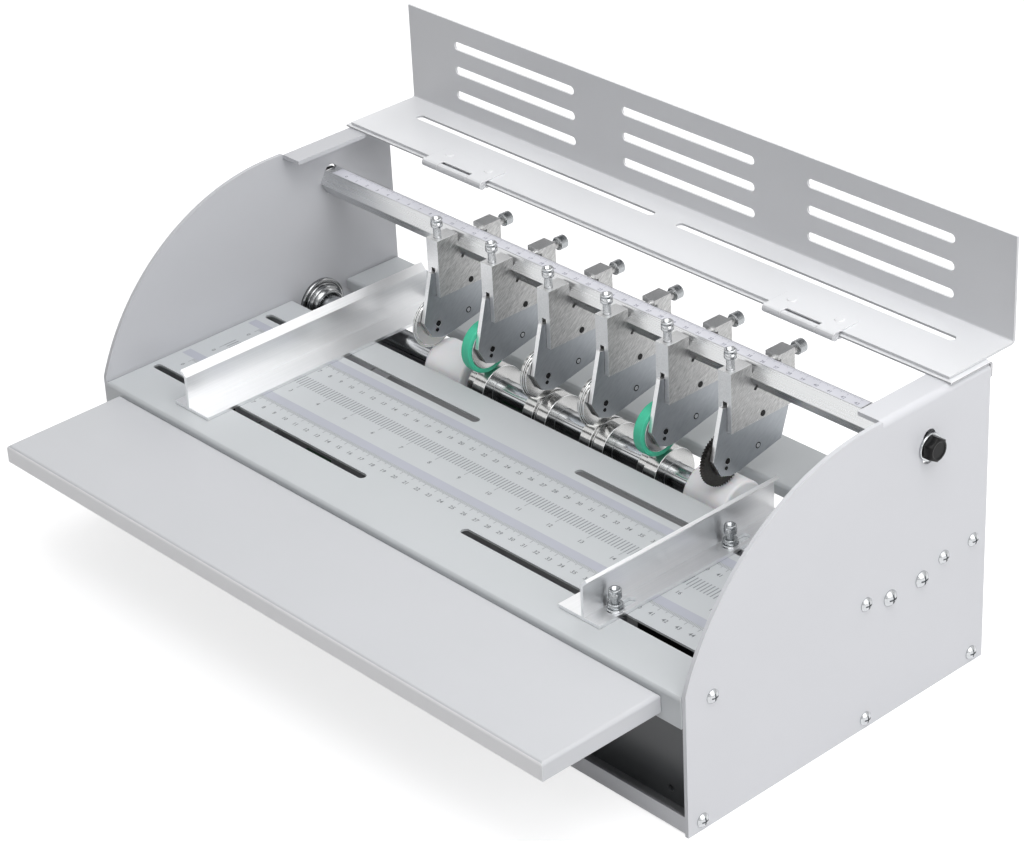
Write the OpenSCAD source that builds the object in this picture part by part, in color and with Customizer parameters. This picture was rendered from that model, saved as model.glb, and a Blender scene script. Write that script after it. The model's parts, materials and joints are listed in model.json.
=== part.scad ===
// Desktop paper creasing machine. Six tool heads slide on a hexagonal bar above a driven
// roller shaft. Sheets go in over the feed table between two side guides and leave at the back.
// Millimetres. X is the width, Y runs from front to back, Z is up.
// The origin is the middle of the footprint, on the surface that the machine stands on.

/* [Machine] */
// Width over the side panels
machine_w = 500; // [440:10:600]
// Depth of the side panels
machine_d = 237; // [220:1:280]
// Height of the side panels
machine_h = 188.5; // [180:0.5:220]
// Height of the straight front edge of the side panels
front_edge_h = 90.4; // [88:0.2:110]
// Radius of the curve on the side panels
panel_curve_r = 149; // [120:1:180]
// Thickness of the side panels
panel_t = 2.5; // [2:0.1:4]
// Width of the flange on top of each panel
flange_w = 18; // [12:1:30]
// Distance from the front edge to the start of the flange
flange_start = 150; // [140:1:180]
// Outer radius of the bend between panel and flange
panel_bend_r = 4; // [3:0.5:8]

/* [Sheet Metal] */
// Thickness of the table, trays, covers and partition
sheet_t = 1.5; // [1:0.1:2.5]
// Outer radius of their bends
sheet_bend_r = 2.5; // [2:0.1:4]

/* [Feed Table] */
// Height of the table's top face
table_z = 87.9; // [80:0.1:100]
// How far the apron stands in front of the side panels
apron_proud = 0.8; // [0:0.1:2]
// Distance from the front edge of the panels to the table's back edge
table_back = 147; // [130:1:150]
// Height of the front apron
apron_h = 19; // [12:1:30]
// Height of the table's side lips
table_side_lip = 14; // [12:1:20]
// Height of the table's back lip
table_back_lip = 5; // [3:1:10]
// Width of the slots for the guide screws
slot_w = 5.6; // [5:0.1:8]
// Distance from the middle to the inner end of each slot
slot_inner = 42; // [30:1:80]
// Distance from the side panel to the outer end of each slot
slot_edge = 5.5; // [3:0.5:20]
// Distance from the front edge to the front row of slots
slot_front_y = 33.4; // [25:0.2:50]
// Distance from the front edge to the back row of slots
slot_back_y = 122; // [100:1:130]

/* [Front Tray] */
// Width of the front tray
tray_w = 466; // [400:2:480]
// Depth of the front tray
tray_d = 84; // [60:1:120]
// Height of the tray's top face
tray_z = 84.6; // [75:0.1:90]
// Height of the tray's folded rim
tray_rim = 11.4; // [8:0.2:20]
// Number of hooks on the tray's back rim
hook_count = 3; // [2:1:5]
// Width of each hook
hook_w = 20; // [10:1:40]
// Distance between neighbouring hooks
hook_pitch = 160; // [100:5:200]
// How far a hook reaches down behind the apron
hook_drop = 5; // [3:0.5:8]
// How far the tray lifts before the hooks leave the apron
hook_lift = 6; // [5:0.5:8]

/* [Base and Exit] */
// Height of the base tray's lips
base_lip = 12; // [8:1:20]
// Distance from the front edge to the dark partition
partition_y = 16; // [10:1:30]
// Width of the partition's foot
partition_foot = 10; // [6:1:20]
// Height of the exit plate's top face
exit_z = 86; // [80:0.5:92]
// Distance from the front edge to the exit plate
exit_start = 192.5; // [190:0.5:200]
// Height of the exit plate's lips
exit_lip = 8; // [7:0.5:12]

/* [Top Cover] */
// Distance from the front edge to the crossbar's front edge
crossbar_front = 204.4; // [204:0.2:215]
// Height of the crossbar's rear fold
crossbar_fold = 10; // [6:1:15]
// Width of the cover
cover_w = 494; // [440:1:494]
// Depth of the cover's flat side
cover_d = 54.7; // [50:0.1:60]
// Height of the cover's upright side when it is open
cover_h = 65; // [50:1:66]
// Outer radius of the cover's bend
cover_bend_r = 3; // [2:0.5:5]
// Distance from the hinge line to the edge of the open cover
cover_edge_gap = 5.2; // [4:0.1:8]
// Length of the upright slots
vent_len = 108.5; // [80:0.5:120]
// Width of all slots in the cover
vent_w = 5.6; // [4:0.1:8]
// Distance between the columns of slots
vent_pitch = 150; // [130:1:180]
// Distance from the upright side's free edge to the first row
vent_edge = 16; // [10:0.5:20]
// Distance between the rows
vent_row_pitch = 16.8; // [10:0.2:18]
// Length of the two slots in the flat side
flat_vent_len = 212; // [150:1:220]
// Distance from the middle to the inner end of the flat slots
flat_vent_inner = 9.8; // [5:0.2:20]
// Distance from the bend to the middle of the flat slots
flat_vent_edge = 20.4; // [15:0.2:25]

/* [Hinges] */
// Distance from the front edge to the hinge line
hinge_y = 201; // [200:0.2:205]
// Distance from the middle to each hinge
hinge_x = 143.8; // [100:0.2:200]
// Length of a hinge
hinge_len = 53.4; // [40:0.2:80]
// Length of the middle knuckle
hinge_mid_len = 26; // [15:0.5:30]
// Thickness of the hinge leaves
leaf_t = 1; // [0.8:0.1:1.5]
// Distance from the hinge line to the back of a leaf
leaf_d = 19; // [14:0.5:25]
// Radius of the hinge pin
hinge_pin_r = 1.2; // [0.8:0.1:1.5]
// Radius of the rivet heads on the leaves
rivet_r = 2.6; // [2:0.1:4]
// Height of the rivet heads
rivet_h = 0.5; // [0.3:0.1:1]

/* [Tool Bar] */
// Width across the flats of the hexagonal bar
bar_af = 16; // [12:0.5:20]
// Distance from the front edge to the bar's axis
bar_y = 187.3; // [180:0.1:195]
// Height of the bar's axis
bar_z = 158.2; // [150:0.1:165]
// Height of the upright slots for the bar's bolts
bar_slot_h = 21.2; // [16:0.2:30]
// Radius of the bar's bolts
bar_bolt_r = 5; // [4:0.5:6]
// Depth of the thread in each end of the bar
bar_thread_d = 22; // [15:1:30]
// Width across the flats of the bolt heads
bolt_head_af = 17; // [13:1:19]
// Height of the bolt heads
bolt_head_h = 6.4; // [5:0.1:8]
// Radius of the washers
bolt_washer_r = 10; // [9:0.1:12]
// Thickness of the washers
bolt_washer_t = 1.6; // [1:0.1:2.5]

/* [Tool Heads] */
// Number of heads
head_count = 6; // [2:1:6]
// Distance between neighbouring heads
head_pitch = 49.1; // [40:0.1:60]
// Width of a head's block along the bar
block_w = 10; // [9:0.5:14]
// Reach of the block in front of the bar's axis
block_front = 25; // [22:0.2:30]
// Reach of the block behind the bar's axis
block_back = 27; // [24:0.2:32]
// Height of the block's front above the bar's axis
block_rise = 8.1; // [6:0.1:10]
// Depth of the block below the bar's axis
block_drop = 30; // [27:0.2:36]
// Distance from the bar's axis to the wall in front of it, above the groove
block_lip = 8.1; // [7.5:0.1:9]
// Thickness of the rear post
post_t = 11.3; // [9:0.1:13]
// Height of the rear post above the bar's axis
post_rise = 4.8; // [4:0.1:8]
// Forward reach of the lip on the post
post_lip = 2.4; // [1:0.1:3]
// Thickness of the lip on the post
post_lip_t = 3; // [2:0.1:3.5]
// Radius of the relief below the groove
relief_r = 1.2; // [0.8:0.1:2]
// Radius of the screws in the head
head_screw_r = 2.5; // [2:0.1:3]
// Radius of the knurled screw heads
knurl_r = 4.25; // [3.5:0.05:5]
// Height of the adjusting screw's knurled head
adjuster_head_h = 5.6; // [4:0.2:8]
// Height of the adjusting screw's top above the bar's axis
adjuster_top = 20.8; // [18:0.2:26]
// Distance from the block's front face to the adjusting screw
adjuster_inset = 4.9; // [4.5:0.1:8]
// Radius of the adjusting screw's dog point
dog_r = 1.3; // [1:0.1:1.5]
// Length of the clamp screw's knurled head
clamp_head_h = 6.4; // [5:0.2:10]
// Distance from the post to the clamp screw's head
clamp_neck = 5.6; // [3:0.2:8]

/* [Arms] */
// Thickness of the arm
arm_t = 3; // [2:0.1:4]
// Radius of the arm's pivot
pivot_r = 2; // [1.5:0.1:3]
// Distance from the bar's axis back to the pivot
pivot_y = 0.5; // [-2:0.1:4]
// Height of the pivot above the block's underside
pivot_rise = 3.2; // [3:0.1:6]
// Height of the arm's slot in the block
arm_slot_h = 19; // [16:0.2:20]
// Distance from the bar's axis forward to the wheel axle
axle_reach = 24.7; // [20:0.1:30]
// Radius of the wheel axle
axle_r = 3; // [2:0.1:4]
// Radius of the axle's end disc
axle_cap_r = 5; // [4:0.1:7]
// Thickness of the axle's end disc
axle_cap_t = 1.2; // [0.8:0.1:2]

/* [Wheels] */
// Radius of every tool wheel
wheel_r = 16.8; // [14:0.1:18]
// Thickness of the steel wheels
wheel_t = 3; // [2:0.1:5]
// Width of the green tyres
tyre_w = 7; // [5:0.5:10]
// Thickness of the green tyres
tyre_t = 3.2; // [2:0.1:5]
// Width of the creasing ridge
ridge_w = 1.2; // [0.8:0.1:2]
// Height of the creasing ridge above its shoulders
ridge_h = 1.4; // [1:0.1:3]
// Width of the creasing wheels
crease_wheel_t = 5.4; // [4:0.1:7]
// Number of teeth on the perforating wheel
tooth_count = 54; // [30:1:60]
// Depth of the teeth
tooth_h = 1.1; // [0.6:0.1:2]
// Radius of the wheel's hub collar
wheel_hub_r = 7; // [5.5:0.1:9]

/* [Drive Shaft] */
// Distance from the front edge to the shaft's axis
shaft_y = 170.4; // [168:0.1:175]
// Height of the shaft's axis
shaft_z = 76.1; // [70:0.1:80]
// Radius of the shaft
shaft_r = 8.5; // [7:0.1:10]
// Radius of the journals in the bearings
journal_r = 6; // [5:0.1:8]
// Radius of the rollers
roller_r = 17; // [15:0.1:18]
// Gap between a wheel and its roller
nip_gap = 0.3; // [0.2:0.05:1]
// Length of the nylon rollers
nylon_len = 33; // [25:0.5:36]
// Distance from an outer head's middle inward to its nylon roller's middle
nylon_shift = 10.9; // [8:0.1:12]
// Length of the plain steel rollers
steel_len = 10; // [8:0.5:14]
// Radius of the plain rollers' hub
steel_hub_r = 12.6; // [11:0.1:14]
// Length of the plain rollers' hub
steel_hub_len = 9; // [6:0.5:9.5]
// Length of the grooved die rollers
die_len = 20; // [14:0.5:24]
// Width of the groove in the die rollers
groove_w = 3; // [2:0.1:5]
// Depth of the groove in the die rollers
groove_d = 2.4; // [1:0.1:4]
// Radius of the bearing's flange
bearing_r = 17.2; // [16:0.1:20]
// Thickness of the bearing's flange
bearing_flange_t = 3; // [2:0.1:5]
// Depth of the whole bearing from the panel
bearing_d = 9.5; // [8:0.5:14]
// Radius of the bearing's nose
bearing_nose_r = 12; // [10:0.1:15]
// Distance between the two screws of a bearing
bearing_screw_gap = 26; // [24:0.5:28]

/* [Side Guides] */
// Distance from the middle to the left guide's wall
left_guide_x = 180.7; // [160:0.1:200]
// Distance from the middle to the right guide's wall
right_guide_x = 157.9; // [150:0.1:200]
// Distance from the front edge to the left guide
left_guide_y = 12; // [8:0.5:20]
// Distance from the front edge to the right guide
right_guide_y = 15.6; // [8:0.1:20]
// Length of the left guide
left_guide_len = 192; // [120:1:195]
// Length of the right guide
right_guide_len = 148; // [120:1:160]
// Thickness of the guides
guide_t = 2; // [1.5:0.1:3]
// Height of the guide's wall up to its fold
guide_h = 22.4; // [18:0.2:26]
// Length of the folded lip
guide_lip = 6; // [4:0.5:8]
// Reach of the guide's foot on the paper's side
guide_inner = 19; // [10:0.5:21]
// Reach of the guide's foot on the outer side
guide_outer = 13; // [11:0.5:16]
// Distance from the wall to the guide's screws
guide_screw_x = 7; // [6:0.2:9]
// Radius of the guide's screws
guide_screw_r = 2.5; // [2:0.1:2.6]
// Length of the slots in the guide's foot
foot_slot_len = 20; // [12:1:30]
// Height of the guide screws above the table
guide_screw_top = 15; // [12:0.5:20]
// Side of the square nuts below the table
guide_nut = 10; // [8:0.5:12]
// Thickness of the square nuts
guide_nut_t = 3; // [2:0.1:4]

/* [Screws] */
// Radius of the small screw heads on the panels
small_head_r = 4.2; // [3:0.1:5]
// Radius of the small screws
small_screw_r = 2; // [1.5:0.1:2.5]
// Radius of the bearing screw heads on the panels
large_head_r = 5; // [4:0.1:6]
// Radius of the bearing screws
large_screw_r = 2.5; // [2:0.1:3]
// Distance from the front edge to the first base screw
base_screw_front = 10.7; // [8:0.1:20]
// Distance from the front edge to the middle base screw
base_screw_mid = 138.3; // [100:0.1:150]
// Distance from the back edge to the last base screw
base_screw_back = 9.7; // [8:0.1:20]
// Height of the base screws
base_screw_z = 6.6; // [5:0.1:9]
// Distance from the front edge to the first table screw
table_screw_front = 19.6; // [15:0.1:30]
// Distance from the table's back edge to the second table screw
table_screw_back = 8.8; // [8:0.1:20]
// Depth of the table screws below the table's top
table_screw_drop = 6.9; // [6:0.1:8]
// Distance from the exit plate's front edge to its first screw
exit_screw_front = 9; // [6:0.1:12]
// Distance from the back edge to the exit plate's second screw
exit_screw_back = 10.8; // [8:0.1:15]

/* [Drive] */
// Distance from the front edge to the motor's axis
motor_y = 108; // [90:1:115]
// Height of the motor's axis
motor_z = 36; // [34:1:40]
// Radius of the motor
motor_r = 27; // [20:1:30]
// Length of the motor's can
motor_len = 52; // [40:1:80]
// Length of the gearbox in front of the motor
gearbox_len = 22; // [15:1:30]
// Distance from the right panel's inner face to the motor bracket
bracket_inset = 43.5; // [41.5:0.5:80]
// Radius of the motor's output shaft
motor_shaft_r = 4; // [3:0.5:5]
// Radius of the belt's path on the motor pulley
motor_pulley_r = 9; // [8:0.5:12]
// Radius of the belt's path on the shaft pulley
shaft_pulley_r = 13.5; // [10:0.5:14]
// Width of the drive belt
belt_w = 9; // [6:1:12]
// Thickness of the drive belt
belt_t = 1.5; // [1:0.1:2.5]
// Distance from the right panel's inner face to the belt's inner edge
belt_inset = 30.5; // [27.5:0.5:37.5]

/* [Circuit Board] */
// Distance from the left panel's inner face to the board
board_inset = 57.5; // [30:0.5:80]
// Distance from the front edge to the board
board_y = 60; // [40:1:80]
// Height of the board's underside
board_z = 8; // [6:0.5:12]
// Length of the board
board_l = 90; // [60:1:110]
// Width of the board
board_w = 50; // [35:1:60]
// Radius of the posts under the board
board_post_r = 3; // [2:0.5:4]

/* [Controls] */
// Height of the controls on the left panel
control_z = 40; // [30:1:50]
// Distance from the front edge to the power inlet
inlet_y = 44; // [40:1:50]
// Distance from the front edge to the power switch
switch_y = 80; // [75:1:85]
// Distance from the front edge to the speed knob
knob_y = 112; // [108:1:120]
// Radius of the speed knob
knob_r = 9; // [7:0.5:12]
// Height of the speed knob
knob_h = 13; // [10:0.5:18]
// Number of grip flutes on the knob
knob_flutes = 18; // [10:1:24]

/* [Clearances] */
// Gap between fixed sheet parts
seat_gap = 0.2; // [0.1:0.05:0.4]
// Gap between parts that slide
slide_gap = 0.3; // [0.2:0.05:0.5]
// Radial gap of a shaft in its hole
pin_gap = 0.05; // [0.02:0.01:0.1]

/* [Hidden] */
$fn = 64;
cut = 1;
overlap = 0.5;
panel_in = machine_w / 2 - panel_t;
sheet_half = panel_in - seat_gap;
panel_curve_z = machine_h - panel_curve_r;
curve_rise = front_edge_h - panel_curve_z;
panel_curve_y = sqrt(pow(panel_curve_r, 2) - pow(curve_rise, 2));
slot_ys = [slot_front_y, slot_back_y];
slot_outer = panel_in - slot_edge;
table_screw_ys = [table_screw_front, table_back - table_screw_back];
table_screw_z = table_z - table_screw_drop;
base_screw_ys = [base_screw_front, base_screw_mid, machine_d - base_screw_back];
exit_screw_ys = [exit_start + exit_screw_front, machine_d - exit_screw_back];
exit_screw_z = exit_z - exit_lip / 2;
bearing_screw_ys = [shaft_y - bearing_screw_gap / 2, shaft_y + bearing_screw_gap / 2];
screw_head_share = 0.62;
screw_dome_share = 1.25;
recess_w_share = 0.22;
recess_l_share = 1.15;
recess_d_share = 0.6;

// Hooks of the front tray
tray_back = -apron_proud - slide_gap;
hook_z = tray_z - tray_rim + sheet_t;
hook_reach = sheet_t + 2 * slide_gap;

// Top cover
crossbar_top = machine_h + sheet_t;
cover_z = crossbar_top + slide_gap;
cover_top = cover_z + sheet_t;
hinge_z = (cover_top + machine_h) / 2;
knuckle_r = hinge_z - machine_h + leaf_t;
knuckle_len = (hinge_len - hinge_mid_len) / 2;
cover_front = hinge_y + cover_edge_gap;
cover_back = cover_front + cover_d;
vent_columns = [-1, 0, 1];
vent_rows = [0, 1, 2];

// Tool heads
bar_corner = bar_af / 2 / cos(30);
groove_af = bar_af + 2 * pin_gap;
groove_corner = groove_af / 2 / cos(30);
arm_slot_w = arm_t + slide_gap;
arm_slot_top = -block_drop + arm_slot_h;
pivot_z = -block_drop + pivot_rise;
axle_z = shaft_z + sqrt(pow(wheel_r + roller_r + nip_gap, 2) - pow(shaft_y - bar_y + axle_reach, 2));
axle_drop = bar_z - axle_z;
adjuster_y = -block_front + adjuster_inset;
wheel_side = -arm_t / 2 - slide_gap;
wheel_mid = wheel_side - wheel_t / 2;
tyre_mid = wheel_side - tyre_w / 2;
crease_mid = wheel_side - crease_wheel_t / 2;
axle_side = wheel_side + slide_gap;
feed_heads = [2, 5];
creasing_heads = [3, 4];
hub_widths = [wheel_t, tyre_w, crease_wheel_t, crease_wheel_t, tyre_w, wheel_t];

// Arm outline
arm_nose = [-block_front - 3.3, arm_slot_top - 2.4];
arm_tail = [block_back - 2.4, arm_slot_top - 12.8];
arm_slope = (arm_tail[1] - arm_nose[1]) / (arm_tail[0] - arm_nose[0]);
arm_chin = 11.6;
arm_cheek = 3.7;
arm_jaw = 5.7;
arm_jaw_drop = 7.6;
arm_heel = 2.1;
arm_foot = 10.4;
arm_tail_inset = 7.7;
arm_tail_drop = 3.3;
arm_tail_rise = 3.8;

// Guide screws
guide_washer_r = 5;
guide_washer_t = 1.2;
guide_collar_h = 3;
foot_slot_shift = 4.6;

// Drive
belt_flange_t = 1;
bracket_x = panel_in - bracket_inset;
belt_x = panel_in - belt_inset;
board_x = board_inset - panel_in;

// Controls
bezel_t = 2;
bezel_edge = 1.6;
inlet_w = 27;
inlet_h = 19.8;
inlet_d = 17;
inlet_wall = 1.6;
blade_t = 2;
switch_w = 13.4;
switch_h = 19.4;
switch_d = 13;
rocker_w = 9.6;
rocker_h = 15.6;
rocker_pin = 0.9;
rocker_tilt = 8;
rocker_dip_share = 0.6;
bush_r = 3.5;
bush_h = 5;
pot_d = 8;
knob_shaft_r = 3;

function hook_x(i) = (i - (hook_count + 1) / 2) * hook_pitch;
function head_x(id) = (id - (head_count + 1) / 2) * head_pitch;
// Height of the arm's sloping top edge, from the bar's axis, at a given depth
function arm_edge(y) = arm_nose[1] + (y - arm_nose[0]) * arm_slope;

// Places the children so that y = 0 is the front edge of the side panels
module from_front() {
    translate([0, -machine_d / 2, 0]) children();
}

// Extrudes a side view, drawn with depth across and height up, along X
module across(from_x, len) {
    translate([from_x, 0, 0]) rotate([90, 0, 90]) linear_extrude(len) children();
}

// Extrudes a front view, drawn with width across and height up, towards the back
module backward(from_y, len) {
    translate([0, from_y + len, 0]) rotate([90, 0, 0]) linear_extrude(len) children();
}

// Cylinder along X from x = from_x
module rod_x(from_x, len, r) {
    translate([from_x, 0, 0]) rotate([0, 90, 0]) cylinder(h = len, r = r);
}

// Cylinder along Y from y = from_y
module rod_y(from_y, len, r) {
    translate([0, from_y, 0]) rotate([-90, 0, 0]) cylinder(h = len, r = r);
}

// Slot with round ends, centred on the origin, long side across
module slot_outline(len, w) {
    straight = len - w;
    square([straight, w], center = true);
    for (side = [-1, 1]) translate([side * straight / 2, 0]) circle(d = w);
}

// Rectangle below the origin whose two upper corners are round
module fold_outline(span, h, r) {
    translate([0, -h]) square([span, h - r]);
    translate([r, -h]) square([span - 2 * r, h]);
    for (x = [r, span - r]) translate([x, -r]) circle(r = r);
}

// Block whose upper edges are round, from y = 0 to y = d, its top at z = 0
module fold_block(w, d, h, r) {
    intersection() {
        across(-w / 2, w) fold_outline(d, h, r);
        backward(0, d) translate([-w / 2, 0]) fold_outline(w, h, r);
    }
}

// Sheet folded down on all four sides
module folded_pan(w, d, h, t, r) {
    difference() {
        fold_block(w, d, h, r);
        translate([0, t, -t]) fold_block(w - 2 * t, d - 2 * t, h, r - t);
    }
}

// Holes through both sides of a piece, at the given depths and height
module side_holes(ys, z, r) {
    for (y = ys) translate([0, y, z]) rod_x(-machine_w / 2 - cut, machine_w + 2 * cut, r);
}

// Machine screw with a domed head and a cross recess, head up, seated at z = 0
module pan_screw(head_r, shank_r, shank_len) {
    head_h = head_r * screw_head_share;
    dome_r = head_r * screw_dome_share;
    recess_w = head_r * recess_w_share;
    difference() {
        union() {
            intersection() {
                cylinder(h = head_h, r = head_r);
                translate([0, 0, head_h - dome_r]) sphere(r = dome_r);
            }
            translate([0, 0, -shank_len]) cylinder(h = shank_len + overlap, r = shank_r);
        }
        for (turn = [0, 90]) rotate(turn) translate([0, 0, head_h]) {
            cube([head_r * recess_l_share, recess_w, 2 * head_h * recess_d_share], center = true);
        }
    }
}

// Knurled cap screw with a hexagon socket, head up, seated at z = 0
module cap_screw(head_h, shank_len) {
    rim = knurl_r / 8;
    difference() {
        union() {
            rotate_extrude() polygon([[0, 0], [knurl_r - rim, 0], [knurl_r, rim], [knurl_r, head_h - rim],
                [knurl_r - rim, head_h], [0, head_h]]);
            translate([0, 0, -shank_len]) cylinder(h = shank_len + overlap, r = head_screw_r);
        }
        translate([0, 0, head_h / 2]) cylinder(h = head_h, r = knurl_r / 2, $fn = 6);
    }
}

// Side panel outline, drawn with depth across and height up
module panel_outline() {
    square([machine_d, front_edge_h]);
    translate([panel_curve_y, 0]) square([machine_d - panel_curve_y, machine_h]);
    intersection() {
        translate([panel_curve_y, panel_curve_z]) circle(r = panel_curve_r, $fn = 180);
        square([panel_curve_y + overlap, machine_h]);
    }
}

// Bend and flange on top of the panel, drawn with width across and height up
module flange_outline() {
    bend_x = machine_w / 2 - panel_bend_r;
    translate([machine_w / 2 - flange_w, machine_h - panel_t]) square([flange_w - panel_bend_r, panel_t]);
    intersection() {
        translate([bend_x, machine_h - panel_bend_r]) difference() {
            circle(r = panel_bend_r);
            circle(r = panel_bend_r - panel_t);
        }
        translate([bend_x, machine_h - panel_bend_r]) square(panel_bend_r);
    }
}

// Right side panel with the holes that both panels share
module side_panel() {
    flange_len = machine_d - flange_start;
    difference() {
        union() {
            difference() {
                across(panel_in, panel_t) panel_outline();
                translate([panel_in - cut, flange_start, machine_h - panel_bend_r]) {
                    cube([panel_t + 2 * cut, flange_len + cut, panel_bend_r + cut]);
                }
            }
            backward(flange_start, flange_len) flange_outline();
        }
        side_holes(base_screw_ys, base_screw_z, small_screw_r + pin_gap);
        side_holes(table_screw_ys, table_screw_z, small_screw_r + pin_gap);
        side_holes(exit_screw_ys, exit_screw_z, small_screw_r + pin_gap);
        side_holes(bearing_screw_ys, shaft_z, large_screw_r + pin_gap);
        across(panel_in - cut, panel_t + 2 * cut) translate([bar_y, bar_z]) rotate(90) {
            slot_outline(bar_slot_h, 2 * (bar_bolt_r + seat_gap));
        }
    }
}

module right_side_panel() {
    color("gainsboro") from_front() side_panel();
}

module left_side_panel() {
    color("gainsboro") from_front() difference() {
        mirror([1, 0, 0]) side_panel();
        translate([-panel_in - panel_t - cut, inlet_y - inlet_w / 2, control_z - inlet_h / 2]) {
            cube([panel_t + 2 * cut, inlet_w, inlet_h]);
        }
        translate([-panel_in - panel_t - cut, switch_y - switch_w / 2, control_z - switch_h / 2]) {
            cube([panel_t + 2 * cut, switch_w, switch_h]);
        }
        translate([0, knob_y, control_z]) rod_x(-machine_w / 2 - cut, panel_t + 2 * cut, bush_r + seat_gap);
    }
}

module base_tray() {
    color("gainsboro") from_front() difference() {
        translate([0, overlap, 0]) mirror([0, 0, 1]) {
            folded_pan(2 * sheet_half, machine_d - 2 * overlap, base_lip, sheet_t, sheet_bend_r);
        }
        side_holes(base_screw_ys, base_screw_z, small_screw_r + pin_gap);
    }
}

// Dark plate that closes the drive space behind the front opening
module partition() {
    w = 2 * (sheet_half - sheet_t - slide_gap);
    top = table_z - sheet_t - seat_gap;
    color("dimgray") from_front() difference() {
        union() {
            translate([-w / 2, partition_y, sheet_t + seat_gap]) cube([w, sheet_t, top - sheet_t - seat_gap]);
            translate([-w / 2, partition_y, sheet_t + seat_gap]) cube([w, partition_foot, sheet_t]);
        }
        translate([w / 2 - base_lip * 2, partition_y - cut, base_lip - small_screw_r]) {
            rod_y(0, sheet_t + 2 * cut, small_screw_r);
        }
    }
}

module feed_table() {
    d = table_back + apron_proud;
    side_cut = apron_h - table_side_lip;
    back_cut = apron_h - table_back_lip;
    slot_len = slot_outer - slot_inner;
    color("silver") from_front() difference() {
        translate([0, -apron_proud, table_z]) folded_pan(2 * sheet_half, d, apron_h, sheet_t, sheet_bend_r);
        translate([-machine_w / 2, -apron_proud + sheet_t, table_z - apron_h - cut]) {
            cube([machine_w, d, side_cut + cut]);
        }
        translate([-sheet_half + sheet_t, table_back - sheet_t - cut, table_z - apron_h - cut]) {
            cube([2 * (sheet_half - sheet_t), sheet_t + 2 * cut, back_cut + cut]);
        }
        side_holes(table_screw_ys, table_screw_z, small_screw_r + pin_gap);
        for (y = slot_ys, side = [-1, 1]) {
            translate([side * (slot_inner + slot_len / 2), y, table_z - sheet_t - cut]) {
                linear_extrude(sheet_t + 2 * cut) slot_outline(slot_len, slot_w);
            }
        }
        for (i = [1 : hook_count]) translate([hook_x(i) - hook_w / 2 - slide_gap, -apron_proud - cut, hook_z - slide_gap]) {
            cube([hook_w + 2 * slide_gap, sheet_t + 2 * cut, sheet_t + hook_lift + 2 * slide_gap]);
        }
    }
}

module front_tray() {
    color("gainsboro") from_front() {
        translate([0, tray_back - tray_d, tray_z]) folded_pan(tray_w, tray_d, tray_rim, sheet_t, sheet_bend_r);
        for (i = [1 : hook_count]) translate([hook_x(i) - hook_w / 2, tray_back - overlap, hook_z]) {
            cube([hook_w, overlap + hook_reach + sheet_t, sheet_t]);
            translate([0, overlap + hook_reach, -hook_drop]) cube([hook_w, sheet_t, hook_drop + overlap]);
        }
    }
}

module exit_plate() {
    d = machine_d - exit_start - overlap;
    color("silver") from_front() difference() {
        translate([0, exit_start, exit_z]) folded_pan(2 * sheet_half, d, exit_lip, sheet_t, sheet_bend_r);
        side_holes(exit_screw_ys, exit_screw_z, small_screw_r + pin_gap);
    }
}

// Plate across the panels, folded down behind them, that carries the hinges
module top_crossbar() {
    d = machine_d + seat_gap + sheet_t - crossbar_front;
    color("silver") from_front() {
        across(-machine_w / 2, machine_w) difference() {
            translate([crossbar_front - sheet_bend_r, crossbar_top]) {
                fold_outline(d + sheet_bend_r, crossbar_fold, sheet_bend_r);
            }
            translate([crossbar_front - sheet_bend_r - sheet_t, crossbar_top - sheet_t]) {
                fold_outline(d + sheet_bend_r, crossbar_fold, sheet_bend_r - sheet_t);
            }
            translate([crossbar_front - 2 * sheet_bend_r, crossbar_top - 2 * crossbar_fold]) {
                square([2 * sheet_bend_r, 3 * crossbar_fold]);
            }
        }
    }
}

// Side view of the open cover
module cover_outline() {
    difference() {
        union() {
            translate([cover_front, cover_z]) square([cover_d - cover_bend_r, sheet_t]);
            translate([cover_back - sheet_t, cover_z + cover_bend_r]) square([sheet_t, cover_h - cover_bend_r]);
            intersection() {
                translate([cover_back - cover_bend_r, cover_z + cover_bend_r]) circle(r = cover_bend_r);
                translate([cover_back - cover_bend_r, cover_z]) square(cover_bend_r);
            }
        }
        translate([cover_back - cover_bend_r, cover_z + cover_bend_r]) circle(r = cover_bend_r - sheet_t);
    }
}

module cover() {
    row_top = cover_z + cover_h - vent_edge;
    flat_y = cover_back - flat_vent_edge;
    color("lightgray") from_front() difference() {
        across(-cover_w / 2, cover_w) cover_outline();
        for (column = vent_columns, row = vent_rows) {
            backward(cover_back - sheet_t - cut, sheet_t + 2 * cut) {
                translate([column * vent_pitch, row_top - row * vent_row_pitch]) slot_outline(vent_len, vent_w);
            }
        }
        for (side = [-1, 1]) {
            translate([side * (flat_vent_inner + flat_vent_len / 2), flat_y, cover_z - cut]) {
                linear_extrude(sheet_t + 2 * cut) slot_outline(flat_vent_len, vent_w);
            }
        }
    }
}

// Two flat rivet heads along a leaf
module leaf_rivets(y, z) {
    for (side = [-1, 1]) translate([side * hinge_len / 3, y, z]) cylinder(h = rivet_h + overlap, r = rivet_r);
}

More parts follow.
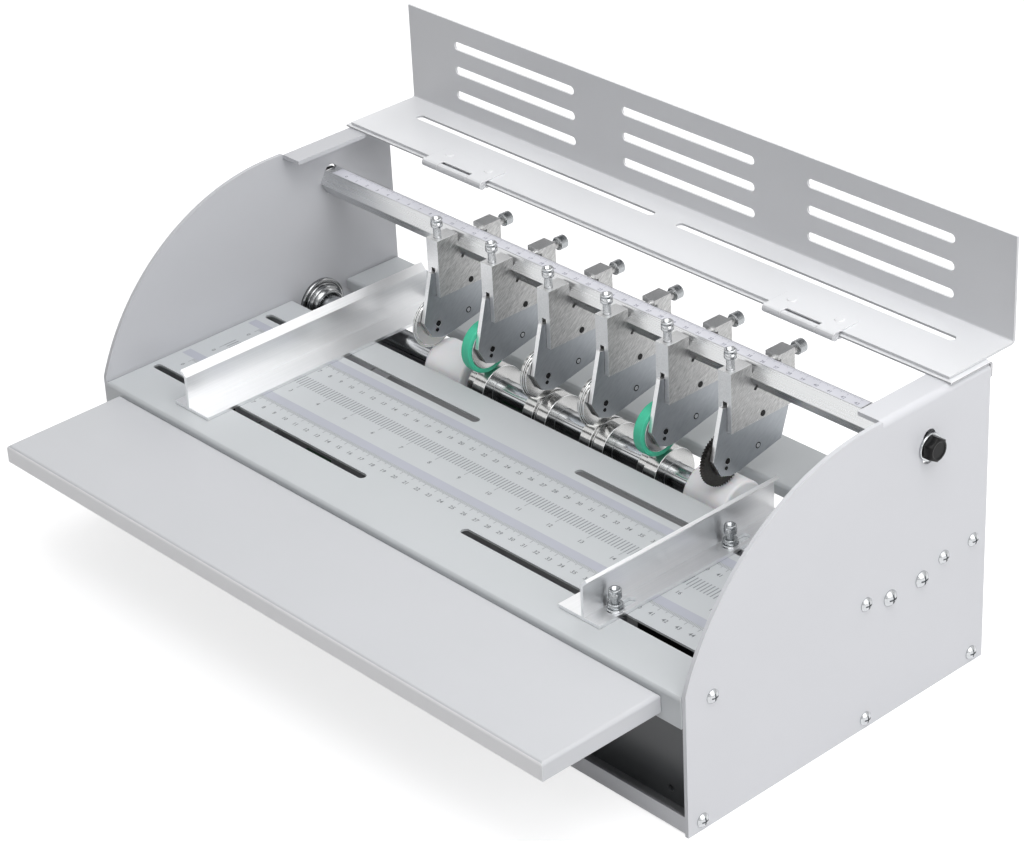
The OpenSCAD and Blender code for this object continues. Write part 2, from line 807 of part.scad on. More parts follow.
module cover_hinge_leaves() {
    color("lightgray") from_front() for (side = [-1, 1]) translate([side * hinge_x, hinge_y, hinge_z]) difference() {
        union() {
            rod_x(-hinge_len / 2, hinge_len, knuckle_r);
            translate([-hinge_len / 2, 0, knuckle_r - leaf_t]) cube([hinge_len, leaf_d, leaf_t]);
            leaf_rivets(leaf_d * 2 / 3, knuckle_r - overlap);
        }
        translate([-hinge_mid_len / 2 - slide_gap, -knuckle_r - cut, -knuckle_r - cut]) {
            cube([hinge_mid_len + 2 * slide_gap, 2 * knuckle_r + 2 * cut, 2 * knuckle_r + 2 * cut]);
        }
        rod_x(-hinge_len / 2 - cut, hinge_len + 2 * cut, hinge_pin_r + pin_gap);
    }
}

// Middle knuckles with their pins, on leaves below the crossbar
module frame_hinge_leaves() {
    color("lightgray") from_front() for (side = [-1, 1]) translate([side * hinge_x, hinge_y, hinge_z]) difference() {
        union() {
            rod_x(-hinge_mid_len / 2, hinge_mid_len, knuckle_r);
            rod_x(-hinge_len / 2, hinge_len, hinge_pin_r);
            translate([-hinge_mid_len / 2, 0, -knuckle_r]) cube([hinge_mid_len, leaf_d, leaf_t]);
            translate([-hinge_len / 2, knuckle_r + slide_gap, -knuckle_r]) {
                cube([hinge_len, leaf_d - knuckle_r - slide_gap, leaf_t]);
            }
        }
    }
}

module tool_bar() {
    len = 2 * (panel_in - seat_gap);
    color("silver") from_front() difference() {
        across(-len / 2, len) translate([bar_y, bar_z]) circle(r = bar_corner, $fn = 6);
        for (side = [-1, 1]) translate([side * len / 2, bar_y, bar_z]) {
            rod_x(-bar_thread_d, 2 * bar_thread_d, bar_bolt_r + pin_gap);
        }
    }
}

module bar_bolts() {
    reach = panel_t + bar_thread_d * 0.8;
    top = bolt_washer_t + bolt_head_h;
    corner = bolt_head_af / 2 / cos(30);
    chamfer = corner - bolt_head_af / 2;
    color("#202224") from_front() for (side = [0, 1]) mirror([side, 0, 0]) translate([machine_w / 2, bar_y, bar_z]) {
        rod_x(0, bolt_washer_t, bolt_washer_r);
        rod_x(-reach, reach + overlap, bar_bolt_r);
        rotate([0, 90, 0]) intersection() {
            cylinder(h = top, r = corner, $fn = 6);
            rotate_extrude() polygon([[0, 0], [corner + cut, 0], [corner + cut, top - chamfer - cut / 2],
                [bolt_head_af / 2 - chamfer, top], [0, top]]);
        }
    }
}

module panel_screws() {
    color("silver") from_front() for (side = [0, 1]) mirror([side, 0, 0]) translate([machine_w / 2, 0, 0]) {
        for (y = base_screw_ys) translate([0, y, base_screw_z]) side_screw(small_head_r, small_screw_r);
        for (y = table_screw_ys) translate([0, y, table_screw_z]) side_screw(small_head_r, small_screw_r);
        for (y = exit_screw_ys) translate([0, y, exit_screw_z]) side_screw(small_head_r, small_screw_r);
        for (y = bearing_screw_ys) translate([0, y, shaft_z]) side_screw(large_head_r, large_screw_r);
    }
}

module side_screw(head_r, shank_r) {
    rotate([0, 90, 0]) pan_screw(head_r, shank_r, panel_t + 2 * sheet_t);
}

// Block outline around the bar's axis: a groove for the bar and a post behind it
module block_outline() {
    flank = (groove_corner - block_lip) * tan(60);
    post_front = block_back - post_t;
    groove_floor = -groove_af / 2;
    difference() {
        polygon([[-block_front, -block_drop], [block_back, -block_drop], [block_back, post_rise],
            [post_front - post_lip, post_rise], [post_front - post_lip, post_rise - post_lip_t],
            [post_front, post_rise - post_lip_t], [post_front, groove_floor], [-groove_corner / 2, groove_floor],
            [-groove_corner, 0], [-block_lip, flank], [-block_lip, block_rise], [-block_front, block_rise]]);
        translate([-groove_corner / 2 - relief_r / 2, groove_floor - relief_r / 2]) circle(r = relief_r);
    }
}

// Places the children at a head's middle, on the bar's axis
module on_bar(id) {
    from_front() translate([head_x(id), bar_y, bar_z]) children();
}

module head_block(id) {
    clamp_tip = bar_corner + slide_gap;
    color("darkgray") on_bar(id) {
        difference() {
            across(-block_w / 2, block_w) block_outline();
            translate([-arm_slot_w / 2, -block_front - cut, -block_drop - cut]) {
                cube([arm_slot_w, block_front + block_back + 2 * cut, arm_slot_h + cut]);
            }
            translate([0, adjuster_y, arm_slot_top - cut]) {
                cylinder(h = block_rise - arm_slot_top + 2 * cut, r = head_screw_r + pin_gap);
            }
            rod_y(block_back - post_t - post_lip - cut, post_t + post_lip + 2 * cut, head_screw_r + pin_gap);
            for (side = [0, 1]) mirror([side, 0, 0]) translate([0, pivot_y, pivot_z]) {
                rod_x(block_w / 2 - overlap, overlap + cut, pivot_r);
            }
        }
        translate([0, pivot_y, pivot_z]) rod_x(-block_w / 2 + overlap, block_w - 2 * overlap, pivot_r);
        translate([0, block_back + clamp_neck, 0]) rotate([-90, 0, 0]) {
            cap_screw(clamp_head_h, block_back + clamp_neck - clamp_tip);
        }
    }
}

// Screw that limits how low the arm hangs
module head_adjuster(id) {
    seat = adjuster_top - adjuster_head_h;
    arm_top_here = arm_edge(adjuster_y - dog_r);
    color("silver") on_bar(id) translate([0, adjuster_y, 0]) {
        translate([0, 0, seat]) cap_screw(adjuster_head_h, seat - arm_slot_top);
        translate([0, 0, arm_top_here + slide_gap]) {
            cylinder(h = arm_slot_top - arm_top_here - slide_gap + overlap, r = dog_r);
        }
    }
}

// Arm outline around the bar's axis, from its nose round the wheel axle to its tail
module arm_outline() {
    polygon([arm_nose, [-axle_reach - arm_chin, -axle_drop + arm_cheek], [-axle_reach - arm_jaw, -axle_drop - arm_jaw_drop],
        [-axle_reach + arm_heel, -axle_drop - arm_foot], [-axle_reach + 4 * arm_heel, -axle_drop - arm_foot],
        [block_back - arm_tail_inset, -axle_drop - arm_tail_drop], [block_back - sheet_t, -block_drop - arm_tail_rise],
        arm_tail]);
}

module head_arm(id, hub_len) {
    color("slategray") on_bar(id) {
        difference() {
            across(-arm_t / 2, arm_t) arm_outline();
            translate([0, pivot_y, pivot_z]) rod_x(-arm_t, 2 * arm_t, pivot_r + pin_gap);
            translate([0, -axle_reach, -axle_drop]) rod_x(arm_t / 2 - sheet_t, arm_t, pivot_r);
            translate([0, -axle_reach - sheet_t, -axle_drop - 2 * pivot_r]) rod_x(-arm_t, 2 * arm_t, hinge_pin_r);
            translate([0, 0, -axle_drop]) rod_x(-arm_t, 2 * arm_t, hinge_pin_r);
        }
        translate([0, -axle_reach, -axle_drop]) {
            rod_x(wheel_side - hub_len - slide_gap, hub_len + slide_gap - wheel_side - arm_t / 2 + overlap, axle_r);
            rod_x(wheel_side - hub_len - slide_gap - axle_cap_t, axle_cap_t + overlap / 2, axle_cap_r);
        }
    }
}

// Places the children on a head's wheel axle
module on_axle(id) {
    on_bar(id) translate([0, -axle_reach, -axle_drop]) children();
}

module slitting_wheel(id) {
    color("silver") on_axle(id) difference() {
        union() {
            rod_x(wheel_side - wheel_t, wheel_t, wheel_r - ridge_h);
            rod_x(wheel_mid - ridge_w / 2, ridge_w, wheel_r);
        }
        rod_x(wheel_side - 2 * wheel_t, 3 * wheel_t, axle_r + pin_gap);
    }
}

module creasing_wheel(id) {
    color("silver") on_axle(id) difference() {
        union() {
            rod_x(wheel_side - crease_wheel_t, crease_wheel_t, wheel_r - ridge_h);
            rod_x(crease_mid - ridge_w / 2, ridge_w, wheel_r);
        }
        rod_x(wheel_side - 2 * crease_wheel_t, 3 * crease_wheel_t, axle_r + pin_gap);
    }
}

module feed_wheel(id) {
    color("silver") on_axle(id) difference() {
        rod_x(wheel_side - tyre_w, tyre_w, wheel_r - tyre_t);
        rod_x(wheel_side - 2 * tyre_w, 3 * tyre_w, axle_r + pin_gap);
    }
}

module feed_tyre(id) {
    color("mediumseagreen") on_axle(id) difference() {
        rod_x(wheel_side - tyre_w, tyre_w, wheel_r);
        rod_x(wheel_side - 2 * tyre_w, 3 * tyre_w, wheel_r - tyre_t);
    }
}

module perforating_wheel(id) {
    step = 360 / tooth_count;
    points = [for (i = [0 : tooth_count - 1], half = [0, 1])
        (wheel_r - half * tooth_h) * [cos((i + half / 2) * step), sin((i + half / 2) * step)]];
    color("#3A3C40") on_axle(id) difference() {
        across(wheel_side - wheel_t, wheel_t) polygon(points);
        rod_x(wheel_side - 2 * wheel_t, 3 * wheel_t, axle_r + pin_gap);
    }
}

// Places the children on the drive shaft's axis
module on_shaft() {
    from_front() translate([0, shaft_y, shaft_z]) children();
}

module drive_shaft() {
    end = panel_in - seat_gap;
    shoulder = panel_in - bearing_d - slide_gap;
    color("silver") on_shaft() {
        rod_x(-shoulder, 2 * shoulder, shaft_r);
        rod_x(-end, 2 * end, journal_r);
    }
}

module shaft_bearings() {
    color("silver") on_shaft() for (side = [0, 1]) mirror([side, 0, 0]) translate([panel_in, 0, 0]) difference() {
        rotate([0, -90, 0]) rotate_extrude() polygon([[journal_r + pin_gap, 0], [bearing_r, 0],
            [bearing_r, bearing_flange_t], [bearing_r - sheet_t, bearing_flange_t],
            [bearing_nose_r, bearing_d], [journal_r + pin_gap, bearing_d]]);
        for (side_y = [-1, 1]) translate([0, side_y * bearing_screw_gap / 2, 0]) {
            rod_x(-panel_t - 2 * sheet_t, panel_t + 3 * sheet_t, large_screw_r + pin_gap);
        }
    }
}

// Hub and disc of a plain roller, its disc centred on x = 0
module plain_roller() {
    difference() {
        union() {
            rod_x(-steel_len / 2, steel_len, roller_r);
            rod_x(-steel_len / 2 - steel_hub_len, steel_hub_len + overlap, steel_hub_r);
        }
        rod_x(-steel_len - steel_hub_len, 3 * steel_len, shaft_r);
    }
}

module die_roller() {
    difference() {
        rod_x(-die_len / 2, die_len, roller_r);
        rod_x(-die_len, 2 * die_len, shaft_r);
        difference() {
            rod_x(-groove_w / 2, groove_w, roller_r + cut);
            rod_x(-groove_w, 2 * groove_w, roller_r - groove_d);
        }
    }
}

module steel_rollers() {
    color("silver") on_shaft() {
        for (id = feed_heads) translate([head_x(id) + tyre_mid, 0, 0]) plain_roller();
        for (id = creasing_heads) translate([head_x(id) + crease_mid, 0, 0]) die_roller();
    }
}

module nylon_rollers() {
    color("white") on_shaft() for (side = [-1, 1]) translate([side * (head_x(head_count) - nylon_shift), 0, 0]) {
        difference() {
            rod_x(-nylon_len / 2, nylon_len, roller_r);
            rod_x(-nylon_len, 2 * nylon_len, shaft_r);
        }
    }
}

// Front view of a guide: wall at x = 0, paper on the +X side, lip folded outwards
module guide_outline() {
    run = guide_lip * sin(45);
    fold = guide_t * sin(45);
    translate([-guide_outer, 0]) square([guide_outer + guide_inner, guide_t]);
    polygon([[-guide_t / 2, 0], [guide_t / 2, 0], [guide_t / 2, guide_h], [guide_t / 2 - run, guide_h + run],
        [guide_t / 2 - run - fold, guide_h + run - fold], [-guide_t / 2, guide_h - guide_t * tan(22.5)]]);
}

module side_guide(len, front_y) {
    difference() {
        backward(0, len) guide_outline();
        for (y = slot_ys) translate([-guide_screw_x, y + foot_slot_shift - front_y, -cut]) {
            linear_extrude(guide_t + 2 * cut) rotate(90) slot_outline(foot_slot_len, 2 * (guide_screw_r + seat_gap));
        }
    }
}

module left_guide() {
    color("lightgray") from_front() translate([-left_guide_x, left_guide_y, table_z + seat_gap]) {
        side_guide(left_guide_len, left_guide_y);
    }
}

module right_guide() {
    color("lightgray") from_front() translate([right_guide_x, right_guide_y, table_z + seat_gap]) {
        mirror([1, 0, 0]) side_guide(right_guide_len, right_guide_y);
    }
}

// Screw, washer, collar and the nut below the table, for each row of slots
module guide_screws(x) {
    foot_top = table_z + seat_gap + guide_t;
    head_z = table_z + guide_screw_top - adjuster_head_h;
    nut_z = table_z - sheet_t - seat_gap - guide_nut_t;
    collar_top = foot_top + guide_washer_t + guide_collar_h;
    for (y = slot_ys) from_front() translate([x, y, 0]) {
        translate([0, 0, head_z]) cap_screw(adjuster_head_h, head_z - nut_z + seat_gap);
        difference() {
            union() {
                translate([0, 0, foot_top]) cylinder(h = guide_washer_t, r = guide_washer_r);
                translate([0, 0, foot_top]) cylinder(h = guide_washer_t + guide_collar_h, r = knurl_r);
            }
            translate([0, 0, foot_top - cut]) {
                cylinder(h = collar_top - foot_top + 2 * cut, r = guide_screw_r + pin_gap);
            }
        }
        difference() {
            translate([-guide_nut / 2, -guide_nut / 2, nut_z]) cube([guide_nut, guide_nut, guide_nut_t]);
            translate([0, 0, nut_z - cut]) cylinder(h = guide_nut_t + 2 * cut, r = guide_screw_r + pin_gap);
        }
    }
}

module left_guide_screws() {
    color("silver") guide_screws(-left_guide_x - guide_screw_x);
}

module right_guide_screws() {
    color("silver") guide_screws(right_guide_x + guide_screw_x);
}

// Can and gearbox, on the inner side of the bracket
module motor() {
    color("dimgray") from_front() translate([bracket_x, motor_y, motor_z]) difference() {
        union() {
            rod_x(-gearbox_len, gearbox_len, motor_r);
            rod_x(-gearbox_len - motor_len, motor_len + overlap, motor_r - sheet_t);
            rod_x(-gearbox_len - motor_len - bearing_flange_t, bearing_flange_t + overlap, motor_r / 3);
        }
        rod_x(-gearbox_len / 2, gearbox_len, motor_shaft_r + pin_gap);
    }
}

module motor_bracket() {
    floor_z = sheet_t + seat_gap;
    color("silver") from_front() difference() {
        translate([bracket_x, motor_y - motor_r, floor_z]) {
            cube([panel_t, 2 * motor_r, motor_z + motor_r - floor_z]);
            translate([-motor_r, 0, 0]) cube([motor_r + overlap, 2 * motor_r, panel_t]);
        }
        translate([0, motor_y, motor_z]) rod_x(bracket_x - cut, panel_t + 2 * cut, 2 * motor_shaft_r);
    }
}

// Flanged pulley whose belt track has the given radius, with its track from x = 0
module pulley(track_r, bore_r) {
    side = belt_w + 2 * slide_gap;
    difference() {
        union() {
            rod_x(-belt_flange_t, side + 2 * belt_flange_t, track_r);
            rod_x(-belt_flange_t, belt_flange_t, track_r + belt_t + belt_flange_t);
            rod_x(side, belt_flange_t, track_r + belt_t + belt_flange_t);
        }
        rod_x(-belt_w, 3 * belt_w, bore_r);
    }
}

module motor_pulley() {
    tail = belt_x - bracket_x + gearbox_len / 2 - slide_gap;
    color("silver") from_front() translate([belt_x - slide_gap, motor_y, motor_z]) {
        pulley(motor_pulley_r, motor_shaft_r - overlap);
        rod_x(slide_gap - tail, tail + belt_w + belt_flange_t, motor_shaft_r);
    }
}

module shaft_pulley() {
    color("silver") on_shaft() translate([belt_x - slide_gap, 0, 0]) pulley(shaft_pulley_r, shaft_r);
}

// Points of an arc from one angle to another, anticlockwise
function arc_points(centre, r, from, to, steps = 24) =
    [for (i = [0 : steps]) centre + r * [cos(from + (to - from) * i / steps), sin(from + (to - from) * i / steps)]];

// Loop round both pulleys, at the given distance from their tracks
module belt_loop(away) {
    small = motor_pulley_r + away;
    large = shaft_pulley_r + away;
    run = [shaft_y - motor_y, shaft_z - motor_z];
    aim = atan2(run[1], run[0]);
    spread = acos((small - large) / norm(run));
    polygon(concat(arc_points([0, 0], small, aim + spread, aim + 360 - spread),
        arc_points(run, large, aim - spread, aim + spread)));
}

module drive_belt() {
    color("#26282A") from_front() across(belt_x, belt_w) translate([motor_y, motor_z]) difference() {
        belt_loop(belt_t + slide_gap);
        belt_loop(slide_gap);
    }
}

// Circuit board on four posts with its larger components
module control_board() {
    floor_z = sheet_t + seat_gap;
    color("seagreen") from_front() translate([board_x, board_y, 0]) {
        translate([0, 0, board_z]) cube([board_l, board_w, sheet_t]);
        for (x = [board_post_r, board_l - board_post_r], y = [board_post_r, board_w - board_post_r]) {
            translate([x, y, floor_z]) cylinder(h = board_z - floor_z + overlap, r = board_post_r);
        }
        translate([board_l / 8, board_w / 4, board_z]) cube([board_l / 4, board_w / 2, board_l / 5]);
        for (i = [1 : 3]) translate([board_l * (0.35 + i / 7), board_w / 2, board_z]) {
            cylinder(h = board_l / 5, r = board_l / 18);
        }
    }
}

// Places the children on the outside of the left panel, X pointing outwards
module on_left_panel(y) {
    from_front() translate([-machine_w / 2, y, control_z]) mirror([1, 0, 0]) children();
}

module power_inlet() {
    color("#26282A") on_left_panel(inlet_y) {
        difference() {
            union() {
                centred_box(0, bezel_t, inlet_w + 2 * bezel_edge, inlet_h + 2 * bezel_edge);
                centred_box(-inlet_d, inlet_d + overlap, inlet_w - 2 * seat_gap, inlet_h - 2 * seat_gap);
            }
            centred_box(bezel_t - inlet_d, inlet_d + cut, inlet_w - 2 * inlet_wall, inlet_h - 2 * inlet_wall);
        }
        for (pin = [[-1, -1], [0, 1], [1, -1]]) translate([0, pin[0] * inlet_w / 4, pin[1] * inlet_h / 10]) {
            centred_box(-inlet_d + bezel_edge, inlet_d - 2 * bezel_edge, blade_t, 2 * blade_t);
        }
    }
}

// Box from x = from_x, centred on the X axis
module centred_box(from_x, len, w, h) {
    translate([from_x, -w / 2, -h / 2]) cube([len, w, h]);
}

module power_switch() {
    color("#26282A") on_left_panel(switch_y) difference() {
        union() {
            centred_box(0, bezel_t, switch_w + 2 * bezel_edge, switch_h + 2 * bezel_edge);
            centred_box(-switch_d, switch_d + overlap, switch_w - 2 * seat_gap, switch_h - 2 * seat_gap);
        }
        centred_box(-switch_d / 2, switch_d, rocker_w + 2 * slide_gap, rocker_h + 2 * slide_gap);
        rod_y(-rocker_w / 2 - rocker_pin, rocker_w + 2 * rocker_pin, blade_t / 2 + pin_gap);
    }
}

// Rocker that dips in the middle, tilted to its off position
module switch_rocker() {
    rocker_r = rocker_h / 2;
    color("#34373A") on_left_panel(switch_y) rotate([0, rocker_tilt, 0]) {
        translate([0, rocker_w / 2, 0]) rotate([90, 0, 0]) linear_extrude(rocker_w) intersection() {
            circle(r = rocker_r);
            polygon([[-bezel_t, -rocker_h], [bezel_t + bezel_t, -rocker_h], [bezel_t * rocker_dip_share, 0],
                [bezel_t + bezel_t, rocker_h], [-bezel_t, rocker_h]]);
        }
        rod_y(-rocker_w / 2 - rocker_pin + pin_gap, rocker_w + 2 * rocker_pin - 2 * pin_gap, blade_t / 2);
    }
}

// Potentiometer behind the panel, with its bush and nut in front
module speed_control() {
    color("silver") on_left_panel(knob_y) difference() {
        union() {
            rod_x(-panel_t - seat_gap - pot_d, pot_d, knob_r);
            rod_x(-panel_t - pot_d / 2, panel_t + pot_d / 2 + bush_h, bush_r);
            rotate([0, 90, 0]) cylinder(h = bush_h / 2, r = bush_r * 1.5, $fn = 6);
        }
        rod_x(-panel_t - pot_d / 2, panel_t + pot_d + bush_h, knob_shaft_r + pin_gap);
    }
}

module speed_knob() {
    color("#26282A") on_left_panel(knob_y) {
        difference() {
            rod_x(overlap, knob_h, knob_r);
            rod_x(0, bush_h + 2 * overlap, bush_r * 1.5 + slide_gap);
            for (i = [0 : knob_flutes - 1]) rotate([i * 360 / knob_flutes, 0, 0]) translate([0, 0, knob_r + overlap]) {
                rod_x(bush_h / 2, knob_h, knob_r / 8);
            }
            centred_box(knob_h, 2 * overlap, blade_t / 2, knob_r);
        }
        rod_x(-panel_t - pot_d / 4, panel_t + pot_d / 4 + knob_h, knob_shaft_r);
    }
}

left_side_panel();
right_side_panel();
base_tray();
partition();
feed_table();
front_tray();
exit_plate();
top_crossbar();
cover();
cover_hinge_leaves();
frame_hinge_leaves();
tool_bar();
bar_bolts();
panel_screws();
drive_shaft();
shaft_bearings();
steel_rollers();
nylon_rollers();
shaft_pulley();
motor();
motor_bracket();
motor_pulley();
drive_belt();
control_board();
power_inlet();
power_switch();
switch_rocker();
speed_control();
speed_knob();
left_guide();
right_guide();
left_guide_screws();
right_guide_screws();
slitting_wheel(1);  // slitting_wheel_1
feed_wheel(2);  // feed_wheel_2
feed_tyre(2);  // feed_tyre_2
creasing_wheel(3);  // creasing_wheel_3
creasing_wheel(4);  // creasing_wheel_4
feed_wheel(5);  // feed_wheel_5
feed_tyre(5);  // feed_tyre_5
perforating_wheel(6);  // perforating_wheel_6
for (id = [1 : 6]) head_block(id);
for (id = [1 : 6]) head_arm(id, hub_widths[id - 1]);
for (id = [1 : 6]) head_adjuster(id);
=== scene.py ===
# %% [markdown]
# # A desktop paper creasing machine
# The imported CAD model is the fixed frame. It says where every part is and how it moves, and this script gives it looks.
# Blender works in metres here, while the sizes of a machine are easier to read in millimetres, so lengths are written
# in millimetres and multiplied by MM where Blender needs them.

# %% Load the frame
import json
import math

import bmesh
import bpy
from mathutils import Matrix, Vector


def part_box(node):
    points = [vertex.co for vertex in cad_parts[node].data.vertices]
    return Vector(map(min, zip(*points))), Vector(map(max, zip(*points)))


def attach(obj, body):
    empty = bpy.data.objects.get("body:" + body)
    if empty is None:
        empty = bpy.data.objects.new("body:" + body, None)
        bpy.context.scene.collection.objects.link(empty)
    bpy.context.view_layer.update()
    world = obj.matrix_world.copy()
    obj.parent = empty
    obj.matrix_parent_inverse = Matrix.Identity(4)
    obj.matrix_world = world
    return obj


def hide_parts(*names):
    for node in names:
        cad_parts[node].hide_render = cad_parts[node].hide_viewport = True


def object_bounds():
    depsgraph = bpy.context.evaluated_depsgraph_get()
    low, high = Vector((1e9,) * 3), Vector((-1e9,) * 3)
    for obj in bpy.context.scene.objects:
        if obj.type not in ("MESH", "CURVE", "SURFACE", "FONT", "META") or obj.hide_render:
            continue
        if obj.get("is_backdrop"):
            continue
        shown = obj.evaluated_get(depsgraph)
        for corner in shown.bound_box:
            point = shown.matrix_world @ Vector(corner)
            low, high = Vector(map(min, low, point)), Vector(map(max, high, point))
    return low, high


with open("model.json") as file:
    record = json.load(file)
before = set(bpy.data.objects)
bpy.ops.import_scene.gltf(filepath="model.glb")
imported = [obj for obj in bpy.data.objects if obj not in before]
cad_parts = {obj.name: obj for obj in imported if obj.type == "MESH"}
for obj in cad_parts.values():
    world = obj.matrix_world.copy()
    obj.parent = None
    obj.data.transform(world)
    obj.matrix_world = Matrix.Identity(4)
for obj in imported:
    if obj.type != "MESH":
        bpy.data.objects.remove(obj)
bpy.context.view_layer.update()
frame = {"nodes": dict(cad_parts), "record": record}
MM = 0.001
nodes = frame["nodes"]
body_of_node = {n: body for body, names in frame["record"]["behaviour"]["bodies"].items() for n in names}
slot_of_node = {s["node"]: s["material_slot"] for s in frame["record"]["subparts"]}

# %% [markdown]
# ## Camera
# A product photo is taken from far away with a long lens, which keeps edges nearly parallel. The camera's place comes
# from the machine's own corners: azimuth and elevation turn it round the machine, and a small roll tilts the picture.

# %% Camera at the photograph's angle
AZIMUTH, ELEVATION, ROLL = (math.radians(a) for a in (48.71, 29.65, -3.01))
EYE = Vector((1.1971, -1.0581, 1.0159))
FOCAL_PX, PICTURE_PX, SENSOR_MM, CLIP_END = 3162.7, 1024, 36.0, 50


def towards(azimuth, elevation):
    """The direction from the machine to a place round it, from the angles in radians."""
    level_share = math.cos(elevation)
    return Vector((math.sin(azimuth) * level_share, -math.cos(azimuth) * level_share, math.sin(elevation)))


back = towards(AZIMUTH, ELEVATION)
level = Vector((math.cos(AZIMUTH), math.sin(AZIMUTH), 0))
upright = back.cross(level)
right = math.cos(ROLL) * level + math.sin(ROLL) * upright
up = -math.sin(ROLL) * level + math.cos(ROLL) * upright

camera = bpy.data.objects.new("camera", bpy.data.cameras.new("camera"))
bpy.context.scene.collection.objects.link(camera)
camera.data.sensor_width = SENSOR_MM
camera.data.lens = FOCAL_PX / PICTURE_PX * SENSOR_MM
camera.data.clip_end = CLIP_END
camera.matrix_world = Matrix.Translation(EYE) @ Matrix((right, up, back)).transposed().to_4x4()
bpy.context.scene.camera = camera
print("camera: lens", round(camera.data.lens, 2), "mm")

# %% [markdown]
# ## Colours and shader nodes
# Colours are picked as sRGB hex values, as a paint chart gives them. A shader counts in linear light, so one function
# turns them round. Another adds one node with its settings, values and links, so a material reads as a short list.

# %% Helpers for materials
def linear(code):
    """Linear RGBA of an sRGB hex colour."""
    parts = [int(code[i:i + 2], 16) / 255 for i in (1, 3, 5)]
    return [p / 12.92 if p <= 0.04045 else ((p + 0.055) / 1.055) ** 2.4 for p in parts] + [1.0]


def add(tree, kind, values=None, links=None, **settings):
    """Adds a node, sets it up, fills its inputs and links them."""
    node = tree.nodes.new(kind)
    for name, value in settings.items():
        setattr(node, name, value)
    for name, value in (values or {}).items():
        node.inputs[name].default_value = value
    for name, socket in (links or {}).items():
        tree.links.new(socket, node.inputs[name])
    return node


def per(size_mm):
    """Texture scale at which a pattern repeats each size_mm, on coordinates in metres."""
    return 1 / (size_mm * MM)


def new_material(name, colour, metallic, roughness, **shader_values):
    """A material with one Principled shader, and the object coordinates that its patterns read."""
    material = bpy.data.materials.new(name)
    material.use_nodes = True
    tree = material.node_tree
    shader = tree.nodes["Principled BSDF"]
    shader.inputs["Base Color"].default_value = linear(colour)
    shader.inputs["Metallic"].default_value = metallic
    shader.inputs["Roughness"].default_value = roughness
    for key, value in shader_values.items():
        shader.inputs[key.replace("_", " ")].default_value = value
    where = add(tree, "ShaderNodeTexCoord").outputs["Object"]
    return material, tree, shader, where


def vary(tree, shader, pattern, colours=None, roughness=None, bump_mm=0):
    """Lets a pattern from 0 to 1 drive colour, roughness and height."""
    if colours:
        # Inputs 6 and 7 and output 2 are a Mix node's colour sockets
        mix = add(tree, "ShaderNodeMix", {6: linear(colours[0]), 7: linear(colours[1])}, {0: pattern}, data_type="RGBA")
        tree.links.new(mix.outputs[2], shader.inputs["Base Color"])
    if roughness:
        span = add(tree, "ShaderNodeMapRange", {"To Min": roughness[0], "To Max": roughness[1]}, {"Value": pattern})
        tree.links.new(span.outputs["Result"], shader.inputs["Roughness"])
    if bump_mm:
        bump = add(tree, "ShaderNodeBump", {"Strength": 1.0, "Distance": bump_mm * MM}, {"Height": pattern})
        tree.links.new(bump.outputs["Normal"], shader.inputs["Normal"])


# %% [markdown]
# ## Painted sheet steel
# Powder coat is sprayed dry and melts into a satin skin. It flows nearly level, but keeps a faint orange peel of a
# millimetre or two, which softens every highlight. The tone drifts very slightly over a large panel. Some sheets and
# faces get a darker or lighter copy of the coat, as painted shade or painted light for how much light falls on them,
# and every rounded edge gets a paler coat as a painted highlight.

# %% Paints
def powder_coat(name, colours, roughness=(0.40, 0.48)):
    PEEL_MM, DRIFT_MM, PEEL_DEPTH_MM = 1.4, 90, 0.004
    material, tree, shader, where = new_material(name, colours[0], 0.0, roughness[0])
    drift = add(tree, "ShaderNodeTexNoise", {"Scale": per(DRIFT_MM), "Detail": 3.0}, {"Vector": where}).outputs["Fac"]
    vary(tree, shader, drift, colours, roughness)
    peel = add(tree, "ShaderNodeTexNoise", {"Scale": per(PEEL_MM), "Detail": 2.0}, {"Vector": where}).outputs["Fac"]
    vary(tree, shader, peel, bump_mm=PEEL_DEPTH_MM)
    return material


finishes = {
    "painted_panel": powder_coat("light grey powder coat", ("#D3D4D8", "#D9DADE")),
    "painted_sheet": powder_coat("table powder coat", ("#C3C7C9", "#CACDD0"), (0.32, 0.40)),
    "painted_cover": powder_coat("cover powder coat", ("#D0D1D4", "#D6D7DA"), (0.32, 0.40)),
    # The partition under the table gets this dark coat, which paints in the shade there
    "dark_sheet": powder_coat("dark powder coat with painted shade", ("#5E6062", "#66686A"), (0.30, 0.36)),
    "motor_can": powder_coat("black motor paint", ("#1C1C1E", "#242427")),
}
# Darker copy of the panel paint for the front tray: painted shade
tray_painted_shade_coat = powder_coat("tray powder coat with painted shade", ("#C6C8CB", "#CCCDD1"), (0.32, 0.40))
# Darker copy of the coat for the crossbar: painted shade
crossbar_painted_shade_coat = powder_coat("crossbar powder coat with painted shade", ("#A8A9AC", "#AEAFB2"))
# Darker copy of the panel paint for the left panel, whose inside lies in the machine's shade: painted shade
left_panel_painted_shade_coat = powder_coat("left panel powder coat with painted shade", ("#C6C7CB", "#CCCDD1"), (0.32, 0.40))
# Lighter copy of the cover's coat for its level top: painted light
cover_top_painted_light_coat = powder_coat("cover top powder coat with painted light", ("#E8E9EC", "#EDEEF0"), (0.32, 0.40))
# Darker coat for the base's floor: painted shade
base_floor_painted_shade_coat = powder_coat("base floor powder coat with painted shade", ("#77787A", "#7F8082"), (0.34, 0.42))
# Near-white coat for the tray's front lip: painted highlight
tray_lip_painted_highlight_coat = powder_coat("tray lip powder coat with painted highlight", ("#F4F4F6", "#F8F8FA"), (0.30, 0.36))
